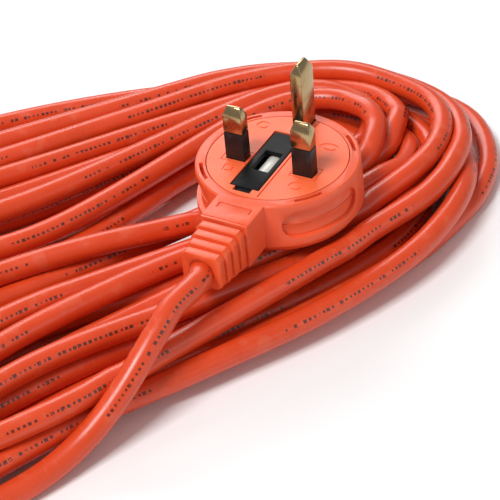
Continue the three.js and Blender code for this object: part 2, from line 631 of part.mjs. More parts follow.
place(plug, "cable_boot", bootSolid(), ORANGE_PVC);

// ---- Flex ------------------------------------------------------------------------------------

const lead = new THREE.Group();

// A point of the plug's frame in the row frame.
function fromPlug(x, y, z) {
  const point = new THREE.Vector3(x, y, z);
  point.applyAxisAngle(new THREE.Vector3(0, 0, 1), PLUG_TURN);
  return [point.x + PLUG_X, point.y + PLUG_Y, point.z + FACE_HEIGHT];
}

function tailPoints() {
  return [
    fromPlug(0, -BOOT_END - GAP, FLEX_AXIS),
    fromPlug(0, -BOOT_END - 0.6 * FLEX_DIAMETER, FLEX_AXIS),
    ...TAIL_ROUTE,
    [TAIL_STEP_X + GAP, TAIL_ROUTE.at(-1)[1], FLEX_REST_HEIGHT],
  ];
}

// The hank from above: one outline round its strands, with the eye left inside its tied end.
function hankOutline() {
  const tailLine = TAIL_ROUTE.at(-1)[1];
  const halfStrand = FLEX_DIAMETER / 2 + GAP;
  const front = tailLine + halfStrand;
  const { x, y, radius, eye } = LEFT_BEND;
  const shape = new THREE.Shape();
  shape.moveTo(TAIL_STEP_X, tailLine - halfStrand);
  shape.lineTo(TAIL_STEP_X, front);
  shape.splineThru([[-60, front + GAP], ...HANK_RIM].map(([px, py]) => new THREE.Vector2(px, py)));
  shape.lineTo(x, y + radius);
  shape.absarc(x, y, radius, Math.PI / 2, (3 * Math.PI) / 2, false);
  shape.closePath();

  const outer = y + eye + FLEX_DIAMETER + GAP;
  const hole = new THREE.Path();
  hole.moveTo(x, y - eye);
  for (const [px, py] of EYE_END) hole.lineTo(px, py);
  hole.lineTo(EYE_REAR_X, outer);
  hole.lineTo(FAR_STEP_X, outer);
  hole.lineTo(FAR_STEP_X, y + eye);
  hole.lineTo(x, y + eye);
  hole.absarc(x, y, eye, Math.PI / 2, (3 * Math.PI) / 2, false);
  hole.closePath();
  shape.holes.push(hole);
  return shape;
}

// The space that the plug and its boot need, from the strands below them upwards.
function plugPocket() {
  const low = FACE_HEIGHT - BODY_THICKNESS - POCKET_DEPTH_CLEAR;
  const radius = BODY_FACE_RADIUS + BODY_FLARE + POCKET_SIDE_CLEAR;
  const width = NECK_WIDTH_AT_DISC + 2 * POCKET_SIDE_CLEAR;
  const round = disc(radius, low, 2 * FACE_HEIGHT, 0, BODY_CENTRE_Y, 40);
  const length = BOOT_END + FLEX_DIAMETER;
  const straight = box(width, length, FACE_HEIGHT, 0, -length / 2, low + FACE_HEIGHT);
  return join(round, straight)
    .rotate([0, 0, THREE.MathUtils.radToDeg(PLUG_TURN)])
    .translate([PLUG_X, PLUG_Y, 0]);
}

// The trench that the flex lies in as it comes down from the boot to the floor.
function tailTrench() {
  const points = tailPoints();
  const clear = FLEX_DIAMETER / 2 + 2 * GAP;
  const top = 2 * FACE_HEIGHT;
  let trench = null;
  for (let i = 0; i + 1 < points.length; i++) {
    const [a, b] = [points[i], points[i + 1]].map((p) => new THREE.Vector3(...p));
    const run = Math.hypot(b.x - a.x, b.y - a.y);
    const low = Math.min(a.z, b.z) - clear;
    const turn = THREE.MathUtils.radToDeg(Math.atan2(b.y - a.y, b.x - a.x));
    const piece = box(run + 2 * clear, 2 * clear, top - low, 0, 0, top)
      .rotate([0, 0, turn])
      .translate([(a.x + b.x) / 2, (a.y + b.y) / 2, 0]);
    if (a.x - clear < TAIL_STEP_X + FLEX_DIAMETER * 2) continue;
    trench = trench ? trench.add(piece) : piece;
  }
  return trench;
}

function hankSolid() {
  const outline = hankOutline();
  const slab = prism(outline, 0, HANK_HEIGHT);
  const strapGroove = box(4 * LEFT_BEND.radius, TIE_WIDTH + 2 * TIE_CLEAR, 2 * (TIE_THICKNESS + GAP),
    LEFT_BEND.x - 2 * LEFT_BEND.radius, LEFT_BEND.y, TIE_THICKNESS + GAP);
  return cut(slab, plugPocket(), tailTrench(), strapGroove);
}

// A strap round all the turns at the hank's tied end, with its head on top.
function tieSolid() {
  const { x, y, radius, eye } = LEFT_BEND;
  const inside = radius - eye + 2 * TIE_CLEAR;
  const middle = x - (radius + eye) / 2;
  const top = HANK_HEIGHT + TIE_CLEAR;
  const strap = box(inside + 2 * TIE_THICKNESS, TIE_WIDTH, top + TIE_THICKNESS, middle, y,
    top + TIE_THICKNESS);
  const hollow = box(inside, 2 * TIE_WIDTH, top - TIE_THICKNESS, middle, y, top);
  const head = box(TIE_HEAD, TIE_WIDTH, TIE_HEAD / 2, middle, y, top + TIE_HEAD / 2);
  return join(strap.subtract(hollow), head);
}

const FAR_AXIS_Y = LEFT_BEND.y + LEFT_BEND.eye + FLEX_DIAMETER / 2;
const FAR_CORE_START = FAR_STEP_X + GAP + FAR_SHEATH_LENGTH;

function farSheath() {
  const bar = new THREE.CylinderGeometry(FLEX_DIAMETER / 2, FLEX_DIAMETER / 2, FAR_SHEATH_LENGTH, 10);
  bar.rotateZ(Math.PI / 2);
  return solid(bar.translate(FAR_CORE_START - FAR_SHEATH_LENGTH / 2, FAR_AXIS_Y, FLEX_REST_HEIGHT));
}

function farCore(side) {
  return barAlong(FAR_CORE_FAN.map(({ along, apart, aside, sunk }) => [
    FAR_CORE_START + GAP + along,
    FAR_AXIS_Y + side * (CORE_PITCH / 2 + apart) - aside,
    THREE.MathUtils.lerp(FLEX_REST_HEIGHT, FAR_CORE_REST, sunk),
  ]), CORE_DIAMETER, 8, 12);
}

function farFerrule(side) {
  const { apart, aside } = FAR_CORE_FAN.at(-1);
  const x = FAR_CORE_START + 2 * GAP + FAR_CORE_LENGTH + FERRULE_LENGTH / 2;
  const y = FAR_AXIS_Y + side * (CORE_PITCH / 2 + apart) - aside;
  const bar = new THREE.CylinderGeometry(FERRULE_DIAMETER / 2, FERRULE_DIAMETER / 2, FERRULE_LENGTH, 12);
  return solid(bar.rotateZ(Math.PI / 2).translate(x, y, FAR_CORE_REST));
}

place(lead, "cable_tail", barAlong(tailPoints(), FLEX_DIAMETER, 10, 22), ORANGE_PVC);
place(lead, "cable_hank", hankSolid(), ORANGE_PVC);
place(lead, "hank_tie", tieSolid(), TIE_PLASTIC);
place(lead, "cable_far_end", farSheath(), ORANGE_PVC);
place(lead, "brown_core_end", farCore(1), BROWN_CORE);
place(lead, "blue_core_end", farCore(-1), BLUE_CORE);
place(lead, "brown_ferrule", farFerrule(1), NICKEL);
place(lead, "blue_ferrule", farFerrule(-1), NICKEL);

const part = new THREE.Group();
part.add(plug, lead);

export default part;
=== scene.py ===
"""Mains lead of a garden mower: moulded three-pin plug, pins up, on a settled hank of orange flex.

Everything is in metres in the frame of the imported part, +Z up, the floor at Z = 0.
"""
import functools
import logging
import math
from dataclasses import dataclass, field
from enum import Enum
from typing import Callable, ClassVar

import bmesh
import bpy
import numpy as np
from mathutils import Matrix, Vector, geometry


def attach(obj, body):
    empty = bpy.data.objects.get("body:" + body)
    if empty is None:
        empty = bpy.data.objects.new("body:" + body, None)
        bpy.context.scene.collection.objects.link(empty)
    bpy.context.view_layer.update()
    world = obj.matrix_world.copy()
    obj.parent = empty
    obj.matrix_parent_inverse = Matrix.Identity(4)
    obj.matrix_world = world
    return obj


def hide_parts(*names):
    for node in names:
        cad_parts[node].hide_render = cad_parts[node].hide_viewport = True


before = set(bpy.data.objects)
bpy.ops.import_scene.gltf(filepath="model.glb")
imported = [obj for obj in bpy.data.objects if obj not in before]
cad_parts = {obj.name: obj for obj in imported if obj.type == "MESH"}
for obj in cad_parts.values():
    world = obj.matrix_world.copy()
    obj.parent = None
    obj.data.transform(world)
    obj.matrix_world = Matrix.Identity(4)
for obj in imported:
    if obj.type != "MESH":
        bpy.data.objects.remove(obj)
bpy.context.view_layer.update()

LOG = logging.getLogger("lead")
TINY = 1e-9

Point = tuple[float, float, float]
Flat = tuple[float, float]
Array = np.ndarray
Number = float | Array
Pairs = tuple[Array, Array]
Shape = bmesh.types.BMesh
Piece = bpy.types.Object
Socket = bpy.types.NodeSocket


class Body(Enum):
    """Bodies of the part that a piece can ride on."""

    LEAD = "lead"
    FUSE = "fuse_holder"


class Slot(Enum):
    """Material slots of the record."""

    FLEX = "flex_sheath"
    PLUG = "plug_pvc"
    FACE = "face_plastic"
    BOOT = "boot_pvc"
    PIN = "pin_brass"
    SLEEVE = "sleeve_nylon"
    CARRIER = "carrier_nylon"
    CERAMIC = "fuse_ceramic"
    CAP = "fuse_metal"
    CLIP = "clip_brass"
    BRIDGE = "bridge_plastic"
    BROWN = "brown_pvc"
    BLUE = "blue_pvc"
    TIE = "tie_plastic"
    FERRULE = "ferrule_metal"


def placed(name: str, shape: Shape) -> Piece:
    """Turns a shape, which is freed, into an object in the scene.

    Args:
        name: The object's name.
        shape: The shape.

    Returns:
        The object.
    """
    mesh = bpy.data.meshes.new(name)
    shape.to_mesh(mesh)
    shape.free()
    made = bpy.data.objects.new(name, mesh)
    bpy.context.scene.collection.objects.link(made)
    return made


# ---- Camera, floor and light -----------------------------------------------------------------


@dataclass(frozen=True)
class Viewpoint:
    """Camera at the viewing angle: where it stands, and its right and upward directions."""

    place: Point = (-0.08108, -0.36383, 0.29820)
    right: Point = (0.8617, -0.5019, -0.0748)
    up: Point = (0.3649, 0.5104, 0.7786)
    lens: float = 109.97
    sensor: float = 36.0
    nearest: float = 0.01

    def build(self) -> None:
        """Makes the camera and sets it as the scene's."""
        data = bpy.data.cameras.new("camera")
        data.lens = self.lens
        data.sensor_width = self.sensor
        data.clip_start = self.nearest
        camera = bpy.data.objects.new("camera", data)
        right = Vector(self.right).normalized()
        back = right.cross(Vector(self.up)).normalized()
        up = back.cross(right)
        turn = Matrix((right, up, back)).transposed().to_4x4()
        camera.matrix_world = Matrix.Translation(self.place) @ turn
        bpy.context.scene.collection.objects.link(camera)
        bpy.context.scene.camera = camera


@dataclass(frozen=True)
class SoftBox:
    """A rectangular lamp that faces a point."""

    name: str
    place: Point
    size: Flat
    power: float
    colour: Point = (1.0, 1.0, 1.0)
    target: Point = (0.07, -0.03, 0.02)

    def build(self) -> None:
        """Makes the lamp."""
        data = bpy.data.lights.new(self.name, "AREA")
        data.shape = "RECTANGLE"
        data.size, data.size_y = self.size
        data.energy = self.power
        data.color = self.colour
        lamp = bpy.data.objects.new(self.name, data)
        aim = Vector(self.target) - Vector(self.place)
        lamp.location = self.place
        lamp.rotation_euler = aim.to_track_quat("-Z", "Y").to_euler()
        bpy.context.scene.collection.objects.link(lamp)


@dataclass(frozen=True)
class Studio:
    """Pale floor, even surrounding light and the soft boxes."""

    floor_half: float = 4.0
    floor_colour: Point = (0.93, 0.93, 0.93)
    floor_roughness: float = 0.7
    world_colour: Point = (1.0, 1.0, 1.0)
    world_strength: float = 0.33
    boxes: tuple[SoftBox, ...] = (
        SoftBox("key", (-0.60, -0.20, 1.15), (0.45, 0.35), 13.5),
        SoftBox("rear", (0.35, 1.0, 0.75), (0.9, 0.5), 7.0),
        SoftBox("front", (0.75, -1.0, 0.55), (0.7, 0.6), 1.6),
    )

    def build(self) -> None:
        """Makes the floor, the world and the lamps."""
        scene = bpy.context.scene
        scene.view_settings.view_transform = "Standard"
        world = bpy.data.worlds.new("studio")
        world.use_nodes = True
        sky = world.node_tree.nodes["Background"]
        sky.inputs["Color"].default_value = (*self.world_colour, 1.0)
        sky.inputs["Strength"].default_value = self.world_strength
        scene.world = world
        for lamp in self.boxes:
            lamp.build()
        shape = bmesh.new()
        bmesh.ops.create_grid(shape, x_segments=1, y_segments=1, size=self.floor_half)
        floor = placed("floor", shape)
        paint = bpy.data.materials.new("pale_floor")
        paint.use_nodes = True
        shader = paint.node_tree.nodes["Principled BSDF"]
        shader.inputs["Base Color"].default_value = (*self.floor_colour, 1.0)
        shader.inputs["Roughness"].default_value = self.floor_roughness
        floor.data.materials.append(paint)


# ---- Flex: layout of the hank and how it settles ---------------------------------------------


@dataclass(frozen=True)
class FlexSize:
    """Sizes of the flex and of the hank's tied end."""

    diameter: float = 0.0072
    rest: float = 0.00375
    length: float = 12.0
    step: float = 0.004
    centre: Flat = (-0.1049, -0.0102)
    outer: float = 0.0764

    def berth(self, column: float, layer: int) -> Flat:
        """Where a turn lies in the tied end.

        Args:
            column: Place inwards from the outermost turn, in diameters.
            layer: Layer from the floor up, each lying in the grooves of the one below.

        Returns:
            Radius round the tied end's centre, and height.
        """
        rise = self.diameter * math.sqrt(3) / 2
        return self.outer - self.diameter * column, self.rest + layer * rise


FLEX = FlexSize()


@dataclass(frozen=True)
class Turn:
    """One turn of the hank as it is laid before it settles, seen from above.

    Args:
        column: Column at the tied end where the turn starts.
        layer: Layer at the tied end where it starts.
        rear: Y of its rear run.
        back: Where its right-hand end starts to curve.
        reach: Its rightmost point.
        front: Where its right-hand end has come round to the front.
        leave: Y of its front run where it leaves the plug behind.
        order: Its place in the pile, from the bottom up.
        swell: How far its rear run swells outwards on the way.
        course: Points of its right-hand end from back to reach, if it isn't part of an ellipse.
    """

    column: float
    layer: int
    rear: float
    back: Flat
    reach: Flat
    front: Flat
    leave: float
    order: int
    swell: float = 0.0
    course: tuple[Flat, ...] = ()


WIDEST_COURSE = (
    (0.058, 0.0715),
    (0.088, 0.0615),
    (0.117, 0.0480),
    (0.144, 0.0335),
    (0.162, 0.0195),
    (0.173, 0.0060),
)
TURNS = (
    Turn(0, 0, 0.0775, (0.060, 0.070), (0.178, -0.013), (0.086, -0.060), -0.060, 9, 0.011, WIDEST_COURSE),
    Turn(1, 0, 0.066, (0.050, 0.060), (0.161, -0.022), (0.085, -0.0675), -0.066, 0, 0.008),
    Turn(0.5, 1, 0.052, (0.090, 0.042), (0.168, -0.014), (0.108, -0.053), -0.073, 10),
    Turn(2, 0, 0.056, (0.060, 0.050), (0.152, -0.018), (0.092, -0.059), -0.061, 1, 0.005),
    Turn(1.5, 1, 0.046, (0.070, 0.040), (0.156, -0.018), (0.104, -0.054), -0.056, 8),
    Turn(1, 2, 0.041, (0.080, 0.035), (0.162, -0.018), (0.124, -0.042), -0.051, 12),
    Turn(3, 0, 0.046, (0.066, 0.041), (0.144, -0.017), (0.094, -0.051), -0.054, 2),
    Turn(2.5, 1, 0.026, (0.090, 0.022), (0.150, -0.014), (0.124, -0.036), -0.044, 11),
    Turn(2, 2, 0.031, (0.100, 0.025), (0.157, -0.011), (0.132, -0.033), -0.040, 13),
    Turn(4, 0, 0.036, (0.072, 0.032), (0.136, -0.016), (0.100, -0.044), -0.047, 3),
    Turn(3.5, 1, 0.019, (0.084, 0.021), (0.142, -0.014), (0.104, -0.044), -0.034, 7),
    Turn(3, 2, 0.011, (0.127, 0.013), (0.155, -0.008), (0.129, -0.032), -0.030, 14),
    Turn(5, 0, 0.024, (0.078, 0.023), (0.128, -0.015), (0.105, -0.0375), -0.037, 4),
    Turn(4.5, 1, 0.010, (0.102, 0.012), (0.133, -0.014), (0.107, -0.038), -0.024, 6),
    Turn(4, 2, 0.000, (0.117, 0.012), (0.147, -0.014), (0.117, -0.040), -0.020, 15),
    Turn(5.5, 1, -0.007, (0.098, 0.010), (0.124, -0.014), (0.098, -0.038), -0.013, 5),
)
LAST_BERTH = (6, 0)
BOOT_EXIT = (0.0554, -0.0620, 0.02865)
BEYOND_BOOT = (0.0531, -0.0652, 0.0286)
TAIL_ROUTE = (
    (0.0419, -0.0696, 0.0274),
    (0.0359, -0.0730, 0.0252),
    (0.0300, -0.0757, 0.0220),
    (0.0240, -0.0780, 0.0180),
    (0.0176, -0.0798, 0.0136),
    (0.0104, -0.0814, 0.0094),
    (0.0024, -0.0830, 0.0062),
    (-0.0064, -0.0846, 0.0044),
    (-0.0170, -0.0858, 0.00375),
    (-0.0320, -0.0865, 0.00375),
    (-0.0500, -0.0866, 0.00375),
    (-0.0680, -0.0866, 0.00375),
    (-0.0850, -0.0866, 0.00375),
)


def mix(a: Number, b: Number, share: Number) -> Number:
    """A value, or an array of them, between a, at share 0, and b, at share 1."""
    return a + (b - a) * share


def smooth_line(points: Array, per_span: int = 24) -> Array:
    """Runs a centripetal Catmull-Rom curve through points.

    Args:
        points: The points, one row each.
        per_span: Samples between two points.

    Returns:
        The samples along the curve.
    """
    ends = (2 * points[0] - points[1], 2 * points[-1] - points[-2])
    padded = np.vstack([ends[0], points, ends[1]])
    spans = []
    for i in range(1, len(padded) - 2):
        p0, p1, p2, p3 = padded[i - 1 : i + 3]
        t1 = np.linalg.norm(p1 - p0) ** 0.5
        t2 = t1 + np.linalg.norm(p2 - p1) ** 0.5
        t3 = t2 + np.linalg.norm(p3 - p2) ** 0.5
        t = np.linspace(t1, t2, per_span, endpoint=False)[:, None]
        a1 = (t1 - t) / t1 * p0 + t / t1 * p1
        a2 = (t2 - t) / (t2 - t1) * p1 + (t - t1) / (t2 - t1) * p2
        a3 = (t3 - t) / (t3 - t2) * p2 + (t - t2) / (t3 - t2) * p3
        b1 = (t2 - t) / t2 * a1 + t / t2 * a2
        b2 = (t3 - t) / (t3 - t1) * a2 + (t - t1) / (t3 - t1) * a3
        spans.append((t2 - t) / (t2 - t1) * b1 + (t - t1) / (t2 - t1) * b2)
    return np.vstack([*spans, points[-1:]])


def distances(line: Array) -> Array:
    """Distance along a line at each of its points, from its first one."""
    return np.r_[0.0, np.cumsum(np.linalg.norm(np.diff(line, axis=0), axis=1))]


def even_line(line: Array, step: float) -> Array:
    """Samples a line at even steps.

    Args:
        line: The line's points.
        step: Distance between two samples.

    Returns:
        The samples, the first and last points of the line among them.
    """
    along = distances(line)
    at = np.linspace(0.0, along[-1], int(round(along[-1] / step)) + 1)
    return np.stack([np.interp(at, along, line[:, axis]) for axis in range(3)], axis=1)


@dataclass(frozen=True)
class HankLayout:
    """Lays the flex out turn by turn, in the order in which it was wound."""

    flex: FlexSize = FLEX
    turns: tuple[Turn, ...] = TURNS
    drop_step: float = 0.0074
    lowest: float = 0.004
    rear_x: float = 0.030
    late_column: float = 4.5
    rear_leans: tuple[tuple[float, float, float, float], ...] = (
        (-0.062, 0.28, 0.02, 0.60),
        (-0.032, 0.55, 0.14, 0.95),
        (-0.006, 0.83, 0.74, 0.75),
    )
    front_leans: tuple[Flat, ...] = ((-0.030, 0.35), (-0.068, 0.78))
    quarter: tuple[int, ...] = (0, 30, 60, 90)
    tied_bend: tuple[Flat, ...] = (
        (262, 0),
        (240, 0.25),
        (210, 0.8),
        (180, 1),
        (150, 0.8),
        (120, 0.25),
        (98, 0),
    )
    leave_x: float = 0.005
    tied_x: float = -0.112
    far_run_x: float = -0.090
    far_end_x: float = -0.0627
    tie_lift: float = 0.0014

    def bend(self, column: float, layer: int) -> list[Point]:
        """Points of the half turn round the tied end, from the front to the back.

        Args:
            column: Column of its berth.
            layer: Layer of its berth.

        Returns:
            The points.
        """
        radius, height = self.flex.berth(column, layer)
        x, y = self.flex.centre
        points = []
        for degrees, share in self.tied_bend:
            a = math.radians(degrees)
            lifted = height + share * self.tie_lift
            points.append((x + radius * math.cos(a), y + radius * math.sin(a), lifted))
        return points

    def rear_run(self, turn: Turn, top: float) -> list[Point]:
        """Points of a turn's rear run, from the tied end to where it starts to curve.

        Args:
            turn: The turn.
            top: Height at which it hangs before it falls.

        Returns:
            The points.
        """
        radius, height = self.flex.berth(turn.column, turn.layer)
        tied_y = self.flex.centre[1] + radius
        late = min(1.0, turn.column / self.late_column)
        points = []
        for x, soon, later, swell in self.rear_leans:
            lean = mix(soon, later, late)
            points.append((x, mix(tied_y, turn.rear, lean) + turn.swell * swell, mix(height, top, lean)))
        return [*points, (self.rear_x, turn.rear, top)]

    def right_end(self, turn: Turn, top: float) -> list[Point]:
        """Points of a turn's right-hand end: two quarters of ellipses that meet at its reach.

        Args:
            turn: The turn.
            top: Height at which it hangs before it falls.

        Returns:
            The points.
        """
        (xb, yb), (xr, yr), (xf, yf) = turn.back, turn.reach, turn.front
        rear = [(x, y, top) for x, y in turn.course] or [
            (xb + (xr - xb) * math.sin(a), yr + (yb - yr) * math.cos(a), top)
            for a in map(math.radians, self.quarter[:-1])
        ]
        ahead = [
            (xf + (xr - xf) * math.cos(a), yr + (yf - yr) * math.sin(a), top)
            for a in map(math.radians, self.quarter)
        ]
        return rear + ahead

    def front_run(self, turn: Turn, berth: tuple[float, int], top: float) -> list[Point]:
        """Points of a turn's front run, back to the tied end and the berth of the next turn.

        Args:
            turn: The turn.
            berth: Column and layer of the next turn at the tied end.
            top: Height at which it hangs before it falls.

        Returns:
            The points.
        """
        radius, height = self.flex.berth(*berth)
        tied_y = self.flex.centre[1] - radius
        halfway = (mix(turn.front[0], self.leave_x, 0.5), mix(turn.front[1], turn.leave, 0.5), top)
        points = [(x, mix(turn.leave, tied_y, w), mix(top, height, w)) for x, w in self.front_leans]
        return [halfway, (self.leave_x, turn.leave, top), *points]

    def line(self) -> Array:
        """The whole flex before it settles, each turn hanging above the one that it falls on.

        Returns:
            Points along the flex, one step apart.
        """
        berths = [(turn.column, turn.layer) for turn in self.turns[1:]] + [LAST_BERTH]
        points: list[Point] = [BOOT_EXIT, BEYOND_BOOT, *TAIL_ROUTE]
        for turn, berth in zip(self.turns, berths):
            top = self.lowest + turn.order * self.drop_step
            points += self.bend(turn.column, turn.layer)
            points += self.rear_run(turn, top)
            points += self.right_end(turn, top)
            points += self.front_run(turn, berth, top)
        points += self.bend(*LAST_BERTH)
        radius, height = self.flex.berth(*LAST_BERTH)
        end_y = self.flex.centre[1] + radius
        points += [(self.far_run_x, end_y, height), (self.far_end_x, end_y, height)]
        return even_line(smooth_line(np.array(points)), self.flex.step)


@dataclass(frozen=True)
class PlugShape:
    """The plug's place and outer sizes, as far as the flex has to stay clear of them."""

    place: Point = (0.093, -0.0385, 0.036)
    turn: float = math.radians(-58)
    centre_y: float = 0.00405
    radius: float = 0.0254
    thickness: float = 0.0175
    under_share: float = 0.6
    stalks: tuple[Point, ...] = ((0.0079, 0.0305, 0.0145), (0.0069, 0.0444, 0.0132))

    def to_row(self, points: Array) -> Array:
        """Turns points of the plug's own frame to the part's.

        Args:
            points: The points, one row each.

        Returns:
            The turned points.
        """
        c, s = math.cos(self.turn), math.sin(self.turn)
        x, y, z = points.T
        return np.stack([c * x - s * y, s * x + c * y, z], axis=1) + np.array(self.place)

    def from_row(self, points: Array) -> Array:
        """Turns points of the part's frame to the plug's own.

        Args:
            points: The points, one row each.

        Returns:
            The turned points.
        """
        c, s = math.cos(self.turn), math.sin(self.turn)
        x, y, z = (points - np.array(self.place)).T
        return np.stack([c * x + s * y, -s * x + c * y, z], axis=1)

    def matrix(self) -> Matrix:
        """From the plug's own frame to the frame of the part."""
        return Matrix.Translation(self.place) @ Matrix.Rotation(self.turn, 4, "Z")

    def push_out(self, points: Array, lift: float, clear: float) -> Array:
        """Moves a flex's centreline points out of the plug and its boot.

        Args:
            points: Points of the centreline.
            lift: How far the plug is above its place.
            clear: Distance to keep from its surface.

        Returns:
            The moved points.
        """
        local = self.from_row(points)
        local[:, 2] -= lift
        local[:, 1] -= self.centre_y
        around = np.hypot(local[:, 0], local[:, 1])
        beside = around - self.radius
        below = -self.thickness - local[:, 2]
        inside = (beside < clear) & (below < clear) & (local[:, 2] < clear)
        corner = inside & (beside > 0) & (below > 0)
        down = inside & ~corner & (clear - below <= clear - beside)
        out = inside & ~corner & ~down
        away = np.hypot(beside, below)
        rounded = corner & (away < clear)
        spare = np.where(rounded, (clear - away) / np.maximum(away, TINY), 0.0)
        scale = np.where(out, (self.radius + clear) / np.maximum(around, TINY), 1.0)
        scale = np.where(rounded, (around + beside * spare) / np.maximum(around, TINY), scale)
        local[:, :2] *= scale[:, None]
        local[:, 2] = np.where(down, -self.thickness - clear, local[:, 2] - below * spare)
        local[:, 1] += self.centre_y
        for half, end, depth in self.stalks:
            sideways = half + clear - np.abs(local[:, 0])
            upwards = local[:, 2] + depth + clear
            near = (local[:, 1] < 0) & (local[:, 1] > -end - clear) & (local[:, 2] < clear)
            hit = near & (sideways > 0) & (upwards > 0)
            beside_it = hit & (sideways < upwards) & (np.abs(local[:, 0]) > self.under_share * half)
            flank = np.sign(local[:, 0]) * (half + clear)
            local[:, 0] = np.where(beside_it, flank, local[:, 0])
            local[:, 2] = np.where(hit & ~beside_it, -depth - clear, local[:, 2])
        local[:, 2] += lift
        return self.to_row(local)


PLUG = PlugShape()


def near_pairs(points: Array, reach: float, apart: int) -> Pairs:
    """Finds the pairs of points that are near each other but not along the flex.

    Args:
        points: The points along the flex.
        reach: Largest distance of a pair.
        apart: Pairs this many steps apart or fewer are left out.

    Returns:
        The pairs' first and second indices.
    """
    key = np.floor(points[:, :2] / reach).astype(int)
    key -= key.min(axis=0) - 1
    width = int(key[:, 1].max()) + 3
    cell = key[:, 0] * width + key[:, 1]
    order = np.argsort(cell, kind="stable")
    in_order = cell[order]
    firsts, seconds = [], []
    for across, along in ((0, 0), (1, -1), (1, 0), (1, 1), (0, 1)):
        want = cell + across * width + along
        low = np.searchsorted(in_order, want, "left")
        count = np.searchsorted(in_order, want, "right") - low
        i = np.repeat(np.arange(len(points)), count)
        offset = np.arange(count.sum()) - np.repeat(np.cumsum(count) - count, count)
        j = order[np.repeat(low, count) + offset]
        keep = np.abs(i - j) > apart
        if (across, along) == (0, 0):
            keep &= i < j
        i, j = i[keep], j[keep]
        close = ((points[i] - points[j]) ** 2).sum(axis=1) < reach * reach
        firsts.append(i[close])
        seconds.append(j[close])
    return np.concatenate(firsts), np.concatenate(seconds)


@dataclass(frozen=True)
class Stage:
    """One stage of settling: its rounds, the drop in each, the hold on the laid line, the plug's lift."""

    rounds: int
    drop: float
    hold: float
    lift_from: float
    lift_to: float


@dataclass(frozen=True)
class Settling:
    """Lets the laid flex fall, turn on turn, then lowers the plug and its tail onto the pile."""

    flex: FlexSize = FLEX
    plug: PlugShape = PLUG
    clear: float = 0.00395
    slack: float = 0.00003
    ramp: float = 0.025
    apart: int = 5
    refresh: int = 6
    search: float = 0.0045
    passes: int = 2
    rise_span: int = 5
    side_span: int = 5
    smoothing: float = 0.35
    easing: float = 0.55
    lowering: float = 1.3
    tail_from: float = -0.017
    tail_span: float = 0.072
    far_held: int = 10
    stages: tuple[Stage, ...] = (
        Stage(300, 0.0005, 0.97, 0.15, 0.15),
        Stage(120, 0.0002, 0.97, 0.15, 0.15),
        Stage(160, 0.00015, 0.98, 0.06, 0.0),
        Stage(220, 0.00012, 0.985, 0.0, 0.0),
        Stage(260, 0.0, 1.0, 0.0, 0.0),
    )

    def evened(self, values: Array, span: int) -> Array:
        """Evens values out along the flex.

        Args:
            values: The values, one row for each point.
            span: Points on each side that count in a mean.

        Returns:
            The mean round each point.
        """
        pad = [(span + 1, span)] + [(0, 0)] * (values.ndim - 1)
        total = np.cumsum(np.pad(values, pad, "edge"), axis=0)
        return (total[2 * span + 1 :] - total[: -2 * span - 1]) / (2 * span + 1)

    def part_contacts(self, points: Array, pairs: Pairs, free: Array) -> None:
        """Moves touching stretches apart, in place.

        Args:
            points: The points along the flex.
            pairs: Indices of the pairs that may touch.
            free: 1 where a point may move and 0 where it is held.
        """
        i, j = pairs
        gap = points[j] - points[i]
        distance = np.sqrt((gap * gap).sum(axis=1))
        full = self.flex.diameter + self.slack
        hit = distance < full
        i, j, gap, distance = i[hit], j[hit], gap[hit], distance[hit]
        weight = np.maximum(free[i] + free[j], TINY)
        push = gap / np.maximum(distance, TINY)[:, None] * ((full - distance) / weight)[:, None]
        count = len(points)
        touches = np.bincount(i, minlength=count) + np.bincount(j, minlength=count)
        ease = 1.0 / np.maximum(1.0, self.easing * touches)
        for axis in range(3):
            on_j = np.bincount(j, push[:, axis] * free[j], count)
            on_i = np.bincount(i, push[:, axis] * free[i], count)
            points[:, axis] += (on_j - on_i) * ease

    def run(self, laid: Array, tied_x: float) -> Array:
        """Settles the laid flex.

        Args:
            laid: Points along the flex as it is laid.
            tied_x: Points to the left of this are held by the tie.

        Returns:
            The settled points.
        """
        points = laid.copy()
        tail = int(np.argmax(laid[:, 0] < tied_x))
        free = np.clip((laid[:, 0] - tied_x) / self.ramp, 0.0, 1.0)
        free[: tail + 1] = 0.0
        free[-self.far_held :] = 0.0
        held = free == 0.0
        carried = np.zeros(len(laid))
        carried[:tail] = np.clip((laid[:tail, 0] - self.tail_from) / self.tail_span, 0.0, 1.0)
        lowered = False
        since = self.refresh
        pairs = near_pairs(points, self.flex.diameter, self.apart)
        for stage in self.stages:
            lowered = lowered or stage.lift_to == 0.0
            for step in range(stage.rounds):
                share = (1 - step / stage.rounds) ** self.lowering
                lift = mix(stage.lift_to, stage.lift_from, share)
                falling = points[:, 2] - stage.drop
                points[:, 2] = mix(laid[:, 2] + lift * carried, falling, free)
                rise = self.evened(points[:, 2], self.rise_span) - points[:, 2]
                points[:, 2] += self.smoothing * free * rise
                aside = points[:, :2] - laid[:, :2]
                shift = self.evened(aside, self.side_span) - aside
                aside += self.smoothing * free[:, None] * shift
                aside *= (free * stage.hold)[:, None]
                points[:, :2] = laid[:, :2] + aside
                if since >= self.refresh:
                    pairs = near_pairs(points, self.flex.diameter + self.search, self.apart)
                    since = 0
                since += 1
                for _ in range(self.passes):
                    self.part_contacts(points, pairs, free)
                    if lowered:
                        pushed = self.plug.push_out(points, lift, self.clear)
                        points = np.where(held[:, None], points, pushed)
                    points[:, 2] = np.maximum(points[:, 2], self.flex.rest)
        return points


# ---- Finishes --------------------------------------------------------------------------------


